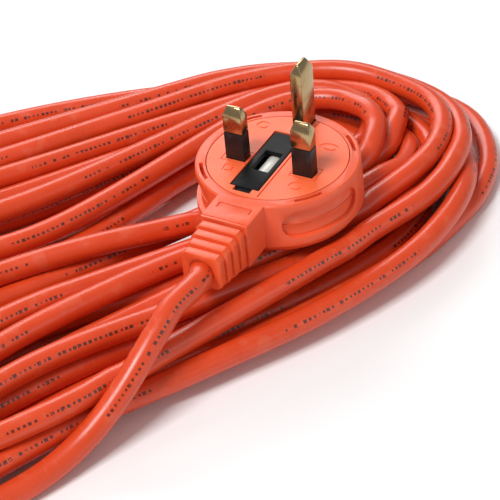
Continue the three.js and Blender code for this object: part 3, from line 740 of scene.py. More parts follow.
class Graph:
    """A node tree being written: adds nodes, links sockets and sets constants."""

    def __init__(self, tree: bpy.types.NodeTree) -> None:
        """Starts on a tree, which keeps the nodes it already has."""
        self.tree = tree

    def node(self, kind: str, settings: dict | None = None, **inputs: object) -> bpy.types.Node:
        """Adds a node.

        Args:
            kind: Its type, such as "ShaderNodeMath".
            settings: Its own properties.
            inputs: Sockets by name, with spaces as underscores; each is a socket to link or a constant.

        Returns:
            The node.
        """
        made = self.tree.nodes.new(kind)
        for name, value in (settings or {}).items():
            setattr(made, name, value)
        for name, value in inputs.items():
            self.feed(made.inputs[name.replace("_", " ")], value)
        return made

    def feed(self, socket: Socket, value: object) -> None:
        """Links a socket to another one, or sets it to a constant.

        Args:
            socket: The socket.
            value: The socket to link it to, or the constant.
        """
        if isinstance(value, Socket):
            self.tree.links.new(value, socket)
        else:
            socket.default_value = value

    def math(self, operation: str, first: object, second: object = 0.0) -> Socket:
        """Adds a Math node.

        Args:
            operation: Its operation, such as "ADD".
            first: Its first value, a socket or a constant.
            second: Its second value.

        Returns:
            The node's value.
        """
        made = self.node("ShaderNodeMath", {"operation": operation})
        self.feed(made.inputs[0], first)
        self.feed(made.inputs[1], second)
        return made.outputs[0]

    def noise(self, vector: object, scale: float, detail: float = 3.0) -> Socket:
        """Adds a Noise texture and returns its value."""
        return self.node("ShaderNodeTexNoise", Vector=vector, Scale=scale, Detail=detail).outputs[0]

    def ramp(self, value: object, low: float, high: float) -> Socket:
        """Maps low to high onto 0 to 1, smoothly.

        Args:
            value: The value to map.
            low: Value that gives 0.
            high: Value that gives 1.

        Returns:
            The mapped value.
        """
        made = self.node("ShaderNodeMapRange", {"interpolation_type": "SMOOTHSTEP"}, Value=value)
        made.inputs["From Min"].default_value = low
        made.inputs["From Max"].default_value = high
        return made.outputs[0]

    def blend(self, share: object, first: object, second: object) -> Socket:
        """Mixes two colours.

        Args:
            share: The second colour's share.
            first: The first colour.
            second: The second colour.

        Returns:
            The mix.
        """
        made = self.node("ShaderNodeMix", {"data_type": "RGBA"})
        self.feed(made.inputs[0], share)
        self.feed(made.inputs[6], first)
        self.feed(made.inputs[7], second)
        return made.outputs[2]

    def plus(self, base: object, value: object, share: object) -> Socket:
        """Adds a share of a value to a base and returns the sum."""
        return self.math("ADD", base, self.math("MULTIPLY", value, share))

    def stretched(self, vector: object, stretch: Point) -> Socket:
        """Adds a Noise texture on stretched coordinates.

        Args:
            vector: The coordinates.
            stretch: Repeats a metre along each axis.

        Returns:
            The texture's value.
        """
        drawn = self.node("ShaderNodeVectorMath", {"operation": "MULTIPLY"})
        self.feed(drawn.inputs[0], vector)
        self.feed(drawn.inputs[1], stretch)
        return self.noise(drawn.outputs[0], 1.0, 2.0)


class Pattern:
    """A node group of surface effects that several finishes share."""

    name: ClassVar[str]
    extras: ClassVar[tuple[str, ...]]

    def build(self) -> bpy.types.NodeTree:
        """Makes the group.

        Returns:
            The group's tree.
        """
        inputs = {"Vector": "Vector", "Colour": "Color", "Worn Colour": "Color", "Roughness": "Float"}
        inputs |= {extra: "Float" for extra in self.extras}
        outputs = {"Colour Out": "Color", "Roughness Out": "Float", "Normal Out": "Vector"}
        tree = bpy.data.node_groups.new(self.name, "ShaderNodeTree")
        for direction, sockets in (("INPUT", inputs), ("OUTPUT", outputs)):
            for socket, kind in sockets.items():
                tree.interface.new_socket(socket, in_out=direction, socket_type=f"NodeSocket{kind}")
        graph = Graph(tree)
        results = self.effects(graph, graph.node("NodeGroupInput").outputs)
        sink = graph.node("NodeGroupOutput").inputs
        for socket, result in zip(outputs, results):
            graph.feed(sink[socket], result)
        return tree

    def effects(self, graph: Graph, source: bpy.types.NodeOutputs) -> tuple[Socket, Socket, Socket]:
        """Writes the effects, which each pattern has its own of.

        Args:
            graph: The graph to write them with.
            source: The group's inputs.

        Returns:
            The colour, the roughness and the normal.
        """
        raise NotImplementedError


@dataclass(frozen=True)
class MouldedPattern(Pattern):
    """Moulded surface: grain, handling scuffs and streaks, and dust mottle."""

    name: ClassVar[str] = "moulded_surface"
    extras: ClassVar[tuple[str, ...]] = ("Grain", "Wear")
    grain_scale: float = 3800.0
    ripple_scale: float = 420.0
    mottle_scale: float = 95.0
    patch_scale: float = 150.0
    patch_edge: Flat = (0.57, 0.66)
    patch_share: float = 0.5
    streak_stretch: Point = (900.0, 170.0, 500.0)
    streak_edge: Flat = (0.63, 0.70)
    streak_share: float = 0.35
    least_shade: float = 0.89
    mottle_shade: float = 0.22
    mottle_roughness: float = 0.25
    scuff_roughness: float = 0.35
    grain_height: float = 0.35
    ripple_height: float = 0.65
    scuff_depth: float = 0.4
    relief: float = 0.00012

    def effects(self, graph: Graph, source: bpy.types.NodeOutputs) -> tuple[Socket, Socket, Socket]:
        """Writes the grain, the scuffs and the mottle.

        Args:
            graph: The graph to write them with.
            source: The group's inputs.

        Returns:
            The colour, the roughness and the normal.
        """
        where, wear = source["Vector"], source["Wear"]
        grain = graph.noise(where, self.grain_scale, 2.0)
        ripple = graph.noise(where, self.ripple_scale, 2.0)
        mottle = graph.noise(where, self.mottle_scale)
        patches = graph.ramp(graph.noise(where, self.patch_scale, 5.0), *self.patch_edge)
        streaks = graph.ramp(graph.stretched(where, self.streak_stretch), *self.streak_edge)
        scuff = graph.math("MULTIPLY", graph.math("MULTIPLY", patches, wear), self.patch_share)
        scuff = graph.plus(scuff, graph.math("MULTIPLY", streaks, wear), self.streak_share)
        shade = graph.node("ShaderNodeHueSaturation", Color=source["Colour"])
        graph.feed(shade.inputs["Value"], graph.plus(self.least_shade, mottle, self.mottle_shade))
        colour = graph.blend(scuff, shade.outputs[0], source["Worn Colour"])
        uneven = graph.math("SUBTRACT", mottle, 0.5)
        rough = graph.plus(source["Roughness"], uneven, self.mottle_roughness)
        rough = graph.plus(rough, scuff, self.scuff_roughness)
        height = graph.plus(graph.math("MULTIPLY", grain, self.grain_height), ripple, self.ripple_height)
        height = graph.math("SUBTRACT", height, graph.math("MULTIPLY", scuff, self.scuff_depth))
        bump = graph.node("ShaderNodeBump", Height=height, Strength=source["Grain"], Distance=self.relief)
        return colour, rough, bump.outputs[0]


@dataclass(frozen=True)
class MetalPattern(Pattern):
    """Metal surface: fine draw lines, tarnish and rubbed patches."""

    name: ClassVar[str] = "drawn_metal"
    extras: ClassVar[tuple[str, ...]] = ("Age",)
    line_stretch: Point = (2600.0, 2600.0, 120.0)
    blotch_scale: float = 260.0
    blotch_edge: Flat = (0.48, 0.72)
    aged_roughness: float = 0.22
    line_roughness: float = 0.08
    strength: float = 0.35
    relief: float = 0.00004

    def effects(self, graph: Graph, source: bpy.types.NodeOutputs) -> tuple[Socket, Socket, Socket]:
        """Writes the draw lines and the tarnish.

        Args:
            graph: The graph to write them with.
            source: The group's inputs.

        Returns:
            The colour, the roughness and the normal.
        """
        lines = graph.stretched(source["Vector"], self.line_stretch)
        blotches = graph.noise(source["Vector"], self.blotch_scale, 4.0)
        aged = graph.math("MULTIPLY", graph.ramp(blotches, *self.blotch_edge), source["Age"])
        rough = graph.plus(source["Roughness"], aged, self.aged_roughness)
        rough = graph.plus(rough, lines, self.line_roughness)
        bump = graph.node("ShaderNodeBump", Height=lines, Strength=self.strength, Distance=self.relief)
        return graph.blend(aged, source["Colour"], source["Worn Colour"]), rough, bump.outputs[0]


@functools.cache
def shared(pattern: type[Pattern]) -> bpy.types.NodeTree:
    """The node group of a pattern, made on first use."""
    return pattern().build()


@dataclass(frozen=True)
class Finish:
    """A piece's finish: its slot, its colour fresh and worn, and its roughness."""

    pattern: ClassVar[type[Pattern]]
    slot: Slot
    colour: Point
    worn: Point
    roughness: float

    def build(self, name: str) -> bpy.types.Material:
        """Makes the material.

        Args:
            name: Its name.

        Returns:
            The material.
        """
        paint = bpy.data.materials.new(name)
        paint.use_nodes = True
        graph = Graph(paint.node_tree)
        surface = graph.node("ShaderNodeGroup", {"node_tree": shared(self.pattern)})
        values = {
            "Vector": graph.node("ShaderNodeTexCoord").outputs["Object"],
            "Colour": (*self.colour, 1.0),
            "Worn Colour": (*self.worn, 1.0),
            "Roughness": self.roughness,
            **self.amounts(),
        }
        for socket, value in values.items():
            graph.feed(surface.inputs[socket], value)
        shader = paint.node_tree.nodes["Principled BSDF"]
        graph.feed(shader.inputs["Base Color"], self.coloured(graph, surface.outputs["Colour Out"]))
        graph.feed(shader.inputs["Roughness"], surface.outputs["Roughness Out"])
        graph.feed(shader.inputs["Normal"], surface.outputs["Normal Out"])
        for socket, value in self.constants().items():
            shader.inputs[socket].default_value = value
        return paint

    def amounts(self) -> dict[str, float]:
        """Values of the pattern's own inputs."""
        raise NotImplementedError

    def constants(self) -> dict[str, object]:
        """Constants of the shader's sockets."""
        raise NotImplementedError

    def coloured(self, graph: Graph, colour: Socket) -> Socket:
        """The surface's colour, which a finish with print on it paints over."""
        return colour


@dataclass(frozen=True)
class Moulded(Finish):
    """Finish of a moulded plastic piece."""

    pattern: ClassVar[type[Pattern]] = MouldedPattern
    grain: float = 0.5
    wear: float = 0.5
    glow: float = 0.0
    gloss: float = 0.5
    glow_radius: Point = (0.0022, 0.0008, 0.0003)
    glow_scale: float = 0.6

    def amounts(self) -> dict[str, float]:
        """How strong the grain and the scuffs are."""
        return {"Grain": self.grain, "Wear": self.wear}

    def constants(self) -> dict[str, object]:
        """Gloss, and how light spreads below the surface.

        Returns:
            The constants by socket.
        """
        return {
            "Specular IOR Level": self.gloss,
            "Subsurface Weight": self.glow,
            "Subsurface Radius": self.glow_radius,
            "Subsurface Scale": self.glow_scale,
        }


@dataclass(frozen=True)
class Printed(Moulded):
    """Finish of the flex: moulded, with a broken line of dashes and dots printed along two sides."""

    ink: Point = (0.02, 0.014, 0.012)
    strength: float = 0.85
    period: float = 0.092
    inked: float = 0.55
    pitch: float = 0.0016
    blank: float = 0.14
    dash: Flat = (0.28, 0.5)
    line_width: float = 0.022
    width_share: Flat = (0.6, 0.5)
    sides: Flat = (0.36, 0.64)
    fade_scale: float = 900.0
    fade_edge: Flat = (0.30, 0.45)

    def coloured(self, graph: Graph, colour: Socket) -> Socket:
        """Paints the printed line over the surface's colour.

        Args:
            graph: The material's graph.
            colour: The surface's colour.

        Returns:
            The colour with the print on it.
        """
        uv = graph.node("ShaderNodeUVMap", {"uv_map": "along"}).outputs[0]
        along, around = graph.node("ShaderNodeSeparateXYZ", Vector=uv).outputs[:2]
        share = graph.math("FRACT", graph.math("DIVIDE", along, self.period))
        in_block = graph.math("LESS_THAN", share, self.inked)
        cell = graph.math("DIVIDE", along, self.pitch)
        pick = graph.node("ShaderNodeTexWhiteNoise", {"noise_dimensions": "1D"})
        graph.feed(pick.inputs["W"], graph.math("FLOOR", cell))
        chance = pick.outputs[0]
        least, spread = self.dash
        dash = graph.math("LESS_THAN", graph.math("FRACT", cell), graph.plus(least, chance, spread))
        present = graph.math("GREATER_THAN", chance, self.blank)
        mask = graph.math("MULTIPLY", graph.math("MULTIPLY", in_block, dash), present)
        least, spread = self.width_share
        half = graph.math("MULTIPLY", graph.plus(least, chance, spread), self.line_width)
        first, second = (
            graph.math("LESS_THAN", graph.math("ABSOLUTE", graph.math("SUBTRACT", around, side)), half)
            for side in self.sides
        )
        mask = graph.math("MULTIPLY", mask, graph.math("MAXIMUM", first, second))
        where = graph.node("ShaderNodeTexCoord").outputs["Object"]
        faded = graph.ramp(graph.noise(where, self.fade_scale), *self.fade_edge)
        mask = graph.math("MULTIPLY", mask, graph.math("MULTIPLY", faded, self.strength))
        return graph.blend(mask, colour, (*self.ink, 1.0))


@dataclass(frozen=True)
class Metal(Finish):
    """Finish of a metal piece."""

    pattern: ClassVar[type[Pattern]] = MetalPattern
    age: float = 0.4

    def amounts(self) -> dict[str, float]:
        """How far the metal has tarnished."""
        return {"Age": self.age}

    def constants(self) -> dict[str, object]:
        """Metal throughout."""
        return {"Metallic": 1.0}


SHEATH_LOOK = (Slot.FLEX, (0.70, 0.062, 0.013), (0.72, 0.16, 0.08), 0.31, 0.35, 0.45, 0.03)
ORANGE_SCUFFED = (0.90, 0.27, 0.15)
FLEX_FINISH = Printed(*SHEATH_LOOK)
SHEATH_FINISH = Moulded(*SHEATH_LOOK)
BODY_FINISH = Moulded(Slot.PLUG, (0.82, 0.098, 0.028), ORANGE_SCUFFED, 0.40, 0.55, 0.30, 0.05)
# Face plate: the body's orange PVC painted brighter and more saturated, fresh and worn, as painted light on
# its upward face over its own colour.
FACE_FINISH_WITH_PAINTED_LIGHT = Moulded(Slot.FACE, (0.98, 0.150, 0.048), (0.96, 0.33, 0.19), 0.46, 0.6, 0.30, 0.05)
BOOT_FINISH = Moulded(Slot.BOOT, (0.84, 0.098, 0.026), ORANGE_SCUFFED, 0.36, 0.5, 0.30, 0.05)
PIN_FINISH = Metal(Slot.PIN, (0.46, 0.325, 0.165), (0.21, 0.135, 0.06), 0.15, 0.45)
SLEEVE_FINISH = Moulded(Slot.SLEEVE, (0.010, 0.008, 0.008), (0.06, 0.05, 0.045), 0.34, 0.4, 0.4, 0.0, 0.35)
CARRIER_FINISH = Moulded(Slot.CARRIER, (0.008, 0.008, 0.009), (0.05, 0.045, 0.04), 0.52, 0.8, 0.5, 0.0, 0.18)
CERAMIC_FINISH = Moulded(Slot.CERAMIC, (0.74, 0.72, 0.66), (0.50, 0.47, 0.41), 0.25, 0.2, 0.3)
CAP_FINISH = Metal(Slot.CAP, (0.72, 0.71, 0.69), (0.38, 0.35, 0.31), 0.20, 0.3)
CLIP_FINISH = Metal(Slot.CLIP, (0.74, 0.56, 0.27), (0.38, 0.24, 0.09), 0.26, 0.5)
BRIDGE_FINISH = Moulded(Slot.BRIDGE, (0.62, 0.58, 0.49), (0.5, 0.46, 0.4), 0.5, 0.5, 0.3)
BROWN_FINISH = Moulded(Slot.BROWN, (0.115, 0.035, 0.012), (0.2, 0.09, 0.05), 0.4, 0.35, 0.3)
BLUE_FINISH = Moulded(Slot.BLUE, (0.015, 0.075, 0.34), (0.08, 0.16, 0.4), 0.4, 0.35, 0.3)
TIE_FINISH = Moulded(Slot.TIE, (0.011, 0.011, 0.012), (0.07, 0.065, 0.06), 0.5, 0.7, 0.6)
FERRULE_FINISH = Metal(Slot.FERRULE, (0.66, 0.66, 0.65), (0.4, 0.39, 0.37), 0.3, 0.4)


# ---- Pieces ----------------------------------------------------------------------------------


def finished(
    name: str, shape: Shape, finish: Finish, body: Body = Body.LEAD, smooth: float = 32.0
) -> Piece:
    """Turns a shape into a finished piece that rides on a body.

    Args:
        name: The piece's name.
        shape: Its shape, which is freed.
        finish: Its finish.
        body: The body it rides on.
        smooth: Angle in degrees above which an edge stays sharp.

    Returns:
        The piece.
    """
    bmesh.ops.recalc_face_normals(shape, faces=shape.faces)
    for face in shape.faces:
        face.smooth = True
    for edge in shape.edges:
        edge.smooth = len(edge.link_faces) == 2 and edge.calc_face_angle(0.0) < math.radians(smooth)
    piece = placed(name, shape)
    piece.data.materials.append(finish.build(name))
    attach(piece, body.value)
    return piece


def copy_of(node: str, merge: float = 1e-6, flat: float = 1.0) -> Shape:
    """Copies a CAD node's shape, merged, with its flat areas joined into single faces.

    Args:
        node: The node's name.
        merge: Distance within which vertices are merged.
        flat: Largest angle in degrees between faces that are joined.

    Returns:
        The copy.
    """
    shape = bmesh.new()
    shape.from_mesh(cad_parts[node].data)
    bmesh.ops.remove_doubles(shape, verts=shape.verts, dist=merge)
    bmesh.ops.dissolve_limit(
        shape,
        angle_limit=math.radians(flat),
        use_dissolve_boundaries=False,
        verts=shape.verts,
        edges=shape.edges,
    )
    bmesh.ops.recalc_face_normals(shape, faces=shape.faces)
    return shape


def round_off(shape: Shape, edges: list[bmesh.types.BMEdge], width: float) -> None:
    """Rounds edges of a shape.

    Args:
        shape: The shape.
        edges: The edges.
        width: How far back the rounding starts.
    """
    bmesh.ops.bevel(
        shape,
        geom=edges,
        offset=width,
        segments=2,
        profile=0.5,
        affect="EDGES",
        clamp_overlap=True,
        material=-1,
    )


def soften(shape: Shape, width: float, angle: float) -> None:
    """Rounds a shape's sharp edges.

    Args:
        shape: The shape.
        width: How far back the rounding starts.
        angle: Smallest angle in degrees of an edge that is rounded.
    """
    least = math.radians(angle)
    sharp = [e for e in shape.edges if len(e.link_faces) == 2 and e.calc_face_angle(0.0) > least]
    round_off(shape, sharp, width)


def add_box(shape: Shape, place: Matrix, centre: Point, size: Point) -> None:
    """Adds a box to a shape.

    Args:
        shape: The shape.
        place: The frame that the box is given in.
        centre: Its centre.
        size: Its size.
    """
    matrix = place @ Matrix.Translation(centre) @ Matrix.Diagonal((*size, 1.0))
    bmesh.ops.create_cube(shape, size=1.0, matrix=matrix)


def tube(points: Array, radius: float, resolution: int) -> Shape:
    """Makes a closed round tube along points, one ring of vertices at each.

    Args:
        points: Its centreline.
        radius: Its radius.
        resolution: The curve's bevel resolution, which gives 4 + 2 times as many sides.

    Returns:
        The tube's shape.
    """
    curve = bpy.data.curves.new("tube", "CURVE")
    curve.dimensions = "3D"
    curve.twist_mode = "Z_UP"
    curve.bevel_depth = radius
    curve.bevel_resolution = resolution
    line = curve.splines.new("POLY")
    line.points.add(len(points) - 1)
    line.points.foreach_set("co", np.c_[points, np.ones(len(points))].ravel())
    holder = bpy.data.objects.new("tube", curve)
    mesh = bpy.data.meshes.new_from_object(holder)
    shape = bmesh.new()
    shape.from_mesh(mesh)
    bpy.data.objects.remove(holder)
    bpy.data.curves.remove(curve)
    bpy.data.meshes.remove(mesh)
    for layer in list(shape.loops.layers.uv.values()):
        shape.loops.layers.uv.remove(layer)
    shape.verts.index_update()
    return shape


def close_ends(shape: Shape, soften_by: float) -> None:
    """Closes a tube's two ends and rounds their rims.

    Args:
        shape: The tube.
        soften_by: How far back the rims' rounding starts.
    """
    rims = [edge for edge in shape.edges if edge.is_boundary]
    bmesh.ops.holes_fill(shape, edges=rims, sides=0)
    round_off(shape, rims, soften_by)


@dataclass
class Flex:
    """The whole flex, from the boot through the hank to its free end."""

    size: FlexSize = FLEX
    layout: HankLayout = field(default_factory=HankLayout)
    settling: Settling = field(default_factory=Settling)
    resolution: int = 8
    rim: float = 0.0003
    sharp_angle: float = 60.0

    def wrap(self, shape: Shape, line: Array) -> None:
        """Gives the tube its UV: metres along it, and the share of a turn round it from its underside.

        Args:
            shape: The tube, ring by ring.
            line: Its centreline.
        """
        sides = len(shape.verts) // len(line)
        along = distances(line)
        heading = np.gradient(line, axis=0)
        heading /= np.linalg.norm(heading, axis=1)[:, None]
        sideways = np.cross(heading, (0.0, 0.0, 1.0))
        sideways /= np.linalg.norm(sideways, axis=1)[:, None]
        upwards = np.cross(sideways, heading)
        places = np.array([vert.co[:] for vert in shape.verts])
        ring = np.arange(len(places)) // sides
        out = places - line[ring]
        turn = np.arctan2((out * sideways[ring]).sum(axis=1), -(out * upwards[ring]).sum(axis=1))
        share = (turn / (2 * math.pi)) % 1.0
        layer = shape.loops.layers.uv.new("along")
        for face in shape.faces:
            shares = [share[loop.vert.index] for loop in face.loops]
            split = max(shares) - min(shares) > 0.5
            for loop, value in zip(face.loops, shares):
                wrapped = value + 1.0 if split and value < 0.5 else value
                loop[layer].uv = (along[ring[loop.vert.index]], wrapped)

    def build(self) -> tuple[Piece, Array]:
        """Lays, settles and finishes the flex.

        Returns:
            The piece and its centreline.
        """
        line = self.settling.run(self.layout.line(), self.layout.tied_x)
        shape = tube(line, self.size.diameter / 2, self.resolution)
        self.wrap(shape, line)
        close_ends(shape, self.rim)
        piece = finished("flex", shape, FLEX_FINISH, smooth=self.sharp_angle)
        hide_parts("cable_tail", "cable_hank", "cable_far_end")
        LOG.info("flex: %.2f m along its centreline, %d rings", distances(line)[-1], len(line))
        return piece, line


@dataclass(frozen=True)
class Tie:
    """Strap tie round the hank's tied end: band, ratchet head and trimmed tail."""

    width: float = 0.009
    thickness: float = 0.0012
    clear: float = 0.00012
    head: Point = (0.0078, 0.0098, 0.0042)
    tail_reach: float = 0.006
    tail_lap: float = 0.002
    tail_narrower: float = 0.001
    tail_height: float = 0.0007
    level: float = 0.0002
    round_steps: int = 16
    sharp_angle: float = 50.0
    band_rounding: float = 0.00025
    head_rounding: float = 0.0006
    tail_rounding: float = 0.0003

    def outline(self, line: Array, grow: float) -> list[Point]:
        """Outline of the bundle where the tie goes round it.

        Args:
            line: The flex's centreline.
            grow: Distance from the strands' surfaces.

        Returns:
            Its corners in order, in the tie's plane.
        """
        middle = FLEX.centre[1]
        left = line[:, 0] < FLEX.centre[0]
        crossing = np.nonzero((line[1:, 1] - middle) * (line[:-1, 1] - middle) <= 0)[0]
        around = FLEX.diameter / 2 + grow
        corners = []
        for i in crossing[left[crossing]]:
            for k in range(self.round_steps):
                turn = 2 * math.pi * k / self.round_steps
                x, z = around * math.cos(turn), around * math.sin(turn)
                corners.append(Vector((line[i, 0] + x, line[i, 2] + z)))
        return [(corners[k][0], middle, corners[k][1]) for k in geometry.convex_hull_2d(corners)]

    def band(self, line: Array) -> Shape:
        """Makes the band, closed round the bundle.

        Args:
            line: The flex's centreline.

        Returns:
            The band's shape.
        """
        shape = bmesh.new()
        inner = self.outline(line, self.clear)
        loop = [shape.verts.new(corner) for corner in inner]
        edges = [shape.edges.new((a, b)) for a, b in zip(loop, loop[1:] + loop[:1])]
        bmesh.ops.translate(shape, verts=loop, vec=(0, -self.width / 2, 0))
        drawn = bmesh.ops.extrude_edge_only(shape, edges=edges)
        moved = [item for item in drawn["geom"] if isinstance(item, bmesh.types.BMVert)]
        bmesh.ops.translate(shape, verts=moved, vec=(0, self.width, 0))
        bmesh.ops.recalc_face_normals(shape, faces=shape.faces)
        middle = Vector([sum(axis) / len(inner) for axis in zip(*inner)])
        face = next(iter(shape.faces))
        if face.normal.dot(face.calc_center_median() - middle) < 0:
            bmesh.ops.reverse_faces(shape, faces=shape.faces)
        bmesh.ops.solidify(shape, geom=shape.faces[:], thickness=-self.thickness)
        soften(shape, self.band_rounding, self.sharp_angle)
        return shape

    def build(self, line: Array) -> list[Piece]:
        """Makes the tie's pieces.

        Args:
            line: The flex's centreline.

        Returns:
            The pieces.
        """
        band = finished("tie_band", self.band(line), TIE_FINISH)
        top = max(vert.co.z for vert in band.data.vertices)
        at_top = [vert.co.x for vert in band.data.vertices if vert.co.z > top - self.level]
        x = (min(at_top) + max(at_top)) / 2
        here = Matrix.Identity(4)
        head, tail = bmesh.new(), bmesh.new()
        add_box(head, here, (x, FLEX.centre[1], top + self.head[2] / 2 - self.thickness), self.head)
        soften(head, self.head_rounding, self.sharp_angle)
        end_x = x - self.head[0] / 2 - self.tail_reach / 2
        strip = (self.tail_reach + self.tail_lap, self.width - self.tail_narrower, self.thickness)
        add_box(tail, here, (end_x, FLEX.centre[1], top + self.tail_height), strip)
        soften(tail, self.tail_rounding, self.sharp_angle)
        pieces = [band, finished("tie_head", head, TIE_FINISH), finished("tie_tail", tail, TIE_FINISH)]
        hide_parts("hank_tie")
        return pieces


@dataclass(frozen=True)
class FarEnd:
    """The two stripped cores at the flex's free end, each with a crimped ferrule."""

    start: float = -0.0624
    axis_y: float = 0.0230
    half_pitch: float = 0.00155
    core_radius: float = 0.0013
    rest: float = 0.0016
    core_rim: float = 0.0002
    ferrule_rim: float = 0.00012
    core_resolution: int = 5
    ferrule_resolution: int = 4
    spans: int = 6
    ferrule: tuple[Flat, ...] = (
        (-0.0022, 0.00150),
        (0.0, 0.00140),
        (0.0003, 0.00095),
        (0.0088, 0.00095),
    )
    fan: tuple[tuple[float, float, float, float], ...] = (
        (-0.002, 0.0, 0.0, 0.0),
        (0.0, 0.0, 0.0, 0.0),
        (0.004, 0.0003, 0.0009, 0.19),
        (0.010, 0.0016, 0.0042, 0.81),
        (0.017, 0.0024, 0.0082, 1.0),
        (0.024, 0.0026, 0.0095, 1.0),
    )

    def core(self, side: int) -> Array:
        """Runs the centreline of a core.

        Args:
            side: Its side, +1 or -1.

        Returns:
            The centreline.
        """
        points = []
        for along, apart, aside, sunk in self.fan:
            y = self.axis_y + side * (self.half_pitch + apart) - aside
            points.append((self.start + along, y, mix(FLEX.rest, self.rest, sunk)))
        return smooth_line(np.array(points), self.spans)

    def barrel(self, end: Array) -> Shape:
        """Makes a ferrule: a tube whose rings take their own radii.

        Args:
            end: Where its core ends.

        Returns:
            The ferrule's shape.
        """
        centres = [Vector((end[0] + x, end[1], end[2])) for x, _ in self.ferrule]
        shape = tube(np.array(centres), 1.0, self.ferrule_resolution)
        sides = len(shape.verts) // len(centres)
        for vert in shape.verts:
            ring = vert.index // sides
            vert.co = centres[ring] + (vert.co - centres[ring]) * self.ferrule[ring][1]
        close_ends(shape, self.ferrule_rim)
        return shape

    def build(self) -> list[Piece]:
        """Makes the cores and ferrules.

        Returns:
            The pieces.
        """
        pieces = []
        for side, name, finish in ((1, "brown", BROWN_FINISH), (-1, "blue", BLUE_FINISH)):
            line = self.core(side)
            shape = tube(line, self.core_radius, self.core_resolution)
            close_ends(shape, self.core_rim)
            core = finished(f"{name}_core_free", shape, finish)
            ferrule = finished(f"{name}_ferrule_free", self.barrel(line[-1]), FERRULE_FINISH)
            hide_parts(f"{name}_core_end")
            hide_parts(f"{name}_ferrule")
            pieces += [core, ferrule]
        return pieces


@dataclass(frozen=True)
class Dressed:
    """A CAD node's look: a merged copy with rounded edges and a finish."""

    node: str
    finish: Finish
    rounding: float
    body: Body = Body.LEAD
    angle: float = 35.0

    def build(self, carve: Callable[[Shape], Shape] | None = None) -> Piece:
        """Makes the piece that stands for the node.

        Args:
            carve: Adds detail to the copy before its edges are rounded.

        Returns:
            The piece.
        """
        shape = copy_of(self.node)
        if carve:
            shape = carve(shape)
        if self.rounding:
            soften(shape, self.rounding, self.angle)
        piece = finished(f"{self.node}_look", shape, self.finish, self.body)
        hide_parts(self.node)
        return piece


def carved(shape: Shape, tools: Shape, operation: str) -> Shape:
    """Cuts tools out of a shape, or joins them to it.

    Args:
        shape: The shape, which is freed.
        tools: The tools, which are freed.
        operation: "DIFFERENCE" or "UNION".

    Returns:
        The new shape.
    """
    holders = []
    for name, source in (("carved", shape), ("tools", tools)):
        bmesh.ops.recalc_face_normals(source, faces=source.faces)
        holders.append(placed(name, source))
    change = holders[0].modifiers.new("carve", "BOOLEAN")
    change.operation = operation
    change.object = holders[1]
    change.solver = "EXACT"
    change.use_self = True
    depsgraph = bpy.context.evaluated_depsgraph_get()
    result = bmesh.new()
    result.from_mesh(holders[0].evaluated_get(depsgraph).to_mesh())
    for holder in holders:
        mesh = holder.data
        bpy.data.objects.remove(holder)
        bpy.data.meshes.remove(mesh)
    return result


@dataclass(frozen=True)
class Mark:
    """A plain raised or sunk mark on the face: a rounded pad at a place in the plug's frame."""

    place: Flat
    size: Flat
    sides: int = 24
    turn: float = 0.0

    def add(self, shape: Shape, low: float, high: float) -> None:
        """Adds the mark's solid to a shape.

        Args:
            shape: The shape.
            low: Its underside in the plug's frame.
            high: Its top in the plug's frame.
        """
        place = Matrix.Translation((*self.place, (low + high) / 2)) @ Matrix.Rotation(self.turn, 4, "Z")
        size = Matrix.Diagonal((*self.size, high - low, 1.0))
        bmesh.ops.create_cone(
            shape,
            cap_ends=True,
            segments=self.sides,
            radius1=0.5,
            radius2=0.5,
            depth=1.0,
            matrix=PLUG.matrix() @ place @ size,
        )


@dataclass(frozen=True)
class FacePlate:
    """The face plate, with its engraved line, raised outlines round the pins and plain marks."""

    groove_x: float = 0.0036
    groove: Flat = (-0.0161, 0.0256)
    groove_width: float = 0.00045
    groove_depth: float = 0.0004
    relief: float = 0.00022
    frame_centres: tuple[float, ...] = (-0.0114, 0.0114)
    frame_size: Flat = (0.0082, 0.0060)
    frame_line: float = 0.0003
    pad_share: Flat = (0.62, 0.5)
    beyond: float = 0.001
    marks: tuple[Mark, ...] = (
        Mark((0.0116, -0.0073), (0.0046, 0.0046)),
        Mark((0.0123, 0.0141), (0.0062, 0.0040)),
        Mark((-0.0117, 0.0174), (0.0042, 0.0042)),
        Mark((-0.0111, -0.0063), (0.0046, 0.0052), 4, math.radians(45)),
    )

    def carve(self, shape: Shape) -> Shape:
        """Engraves the plate and adds its marks.

        Args:
            shape: The plate's shape, which is freed.

        Returns:
            The new shape.
        """
        low, high = self.groove
        cutter, pads = bmesh.new(), bmesh.new()
        size = (self.groove_width, high - low, 2 * self.groove_depth)
        add_box(cutter, PLUG.matrix(), (self.groove_x, (low + high) / 2, 0.0), size)
        for mark in self.marks:
            mark.add(cutter, -self.relief, self.beyond)
            wide, deep = (own * share for own, share in zip(mark.size, self.pad_share))
            Mark(mark.place, (wide, deep), mark.sides, mark.turn).add(pads, -self.beyond, 0.0)
        for x in self.frame_centres:
            self.add_frame(cutter, x)
        return carved(carved(shape, cutter, "DIFFERENCE"), pads, "UNION")

    def add_frame(self, cutter: Shape, x: float) -> None:
        """Adds the four lines engraved round a line pin.

        Args:
            cutter: The cutter to add them to.
            x: The pin's middle in the plug's frame.
        """
        wide, deep = self.frame_size
        line = self.frame_line
        sides = (
            (x - wide / 2, 0.0, line, deep),
            (x + wide / 2, 0.0, line, deep),
            (x, -deep / 2, wide + 2 * line, line),
            (x, deep / 2, wide + 2 * line, line),
        )
        for cx, cy, width, depth in sides:
            add_box(cutter, PLUG.matrix(), (cx, cy, 0.0), (width, depth, 2 * self.relief))

    def build(self) -> Piece:
        """Makes the plate."""
        # The plate's finish is brighter than the body's: painted light on the upward face.
        return Dressed("face_plate", FACE_FINISH_WITH_PAINTED_LIGHT, 0.0).build(self.carve)


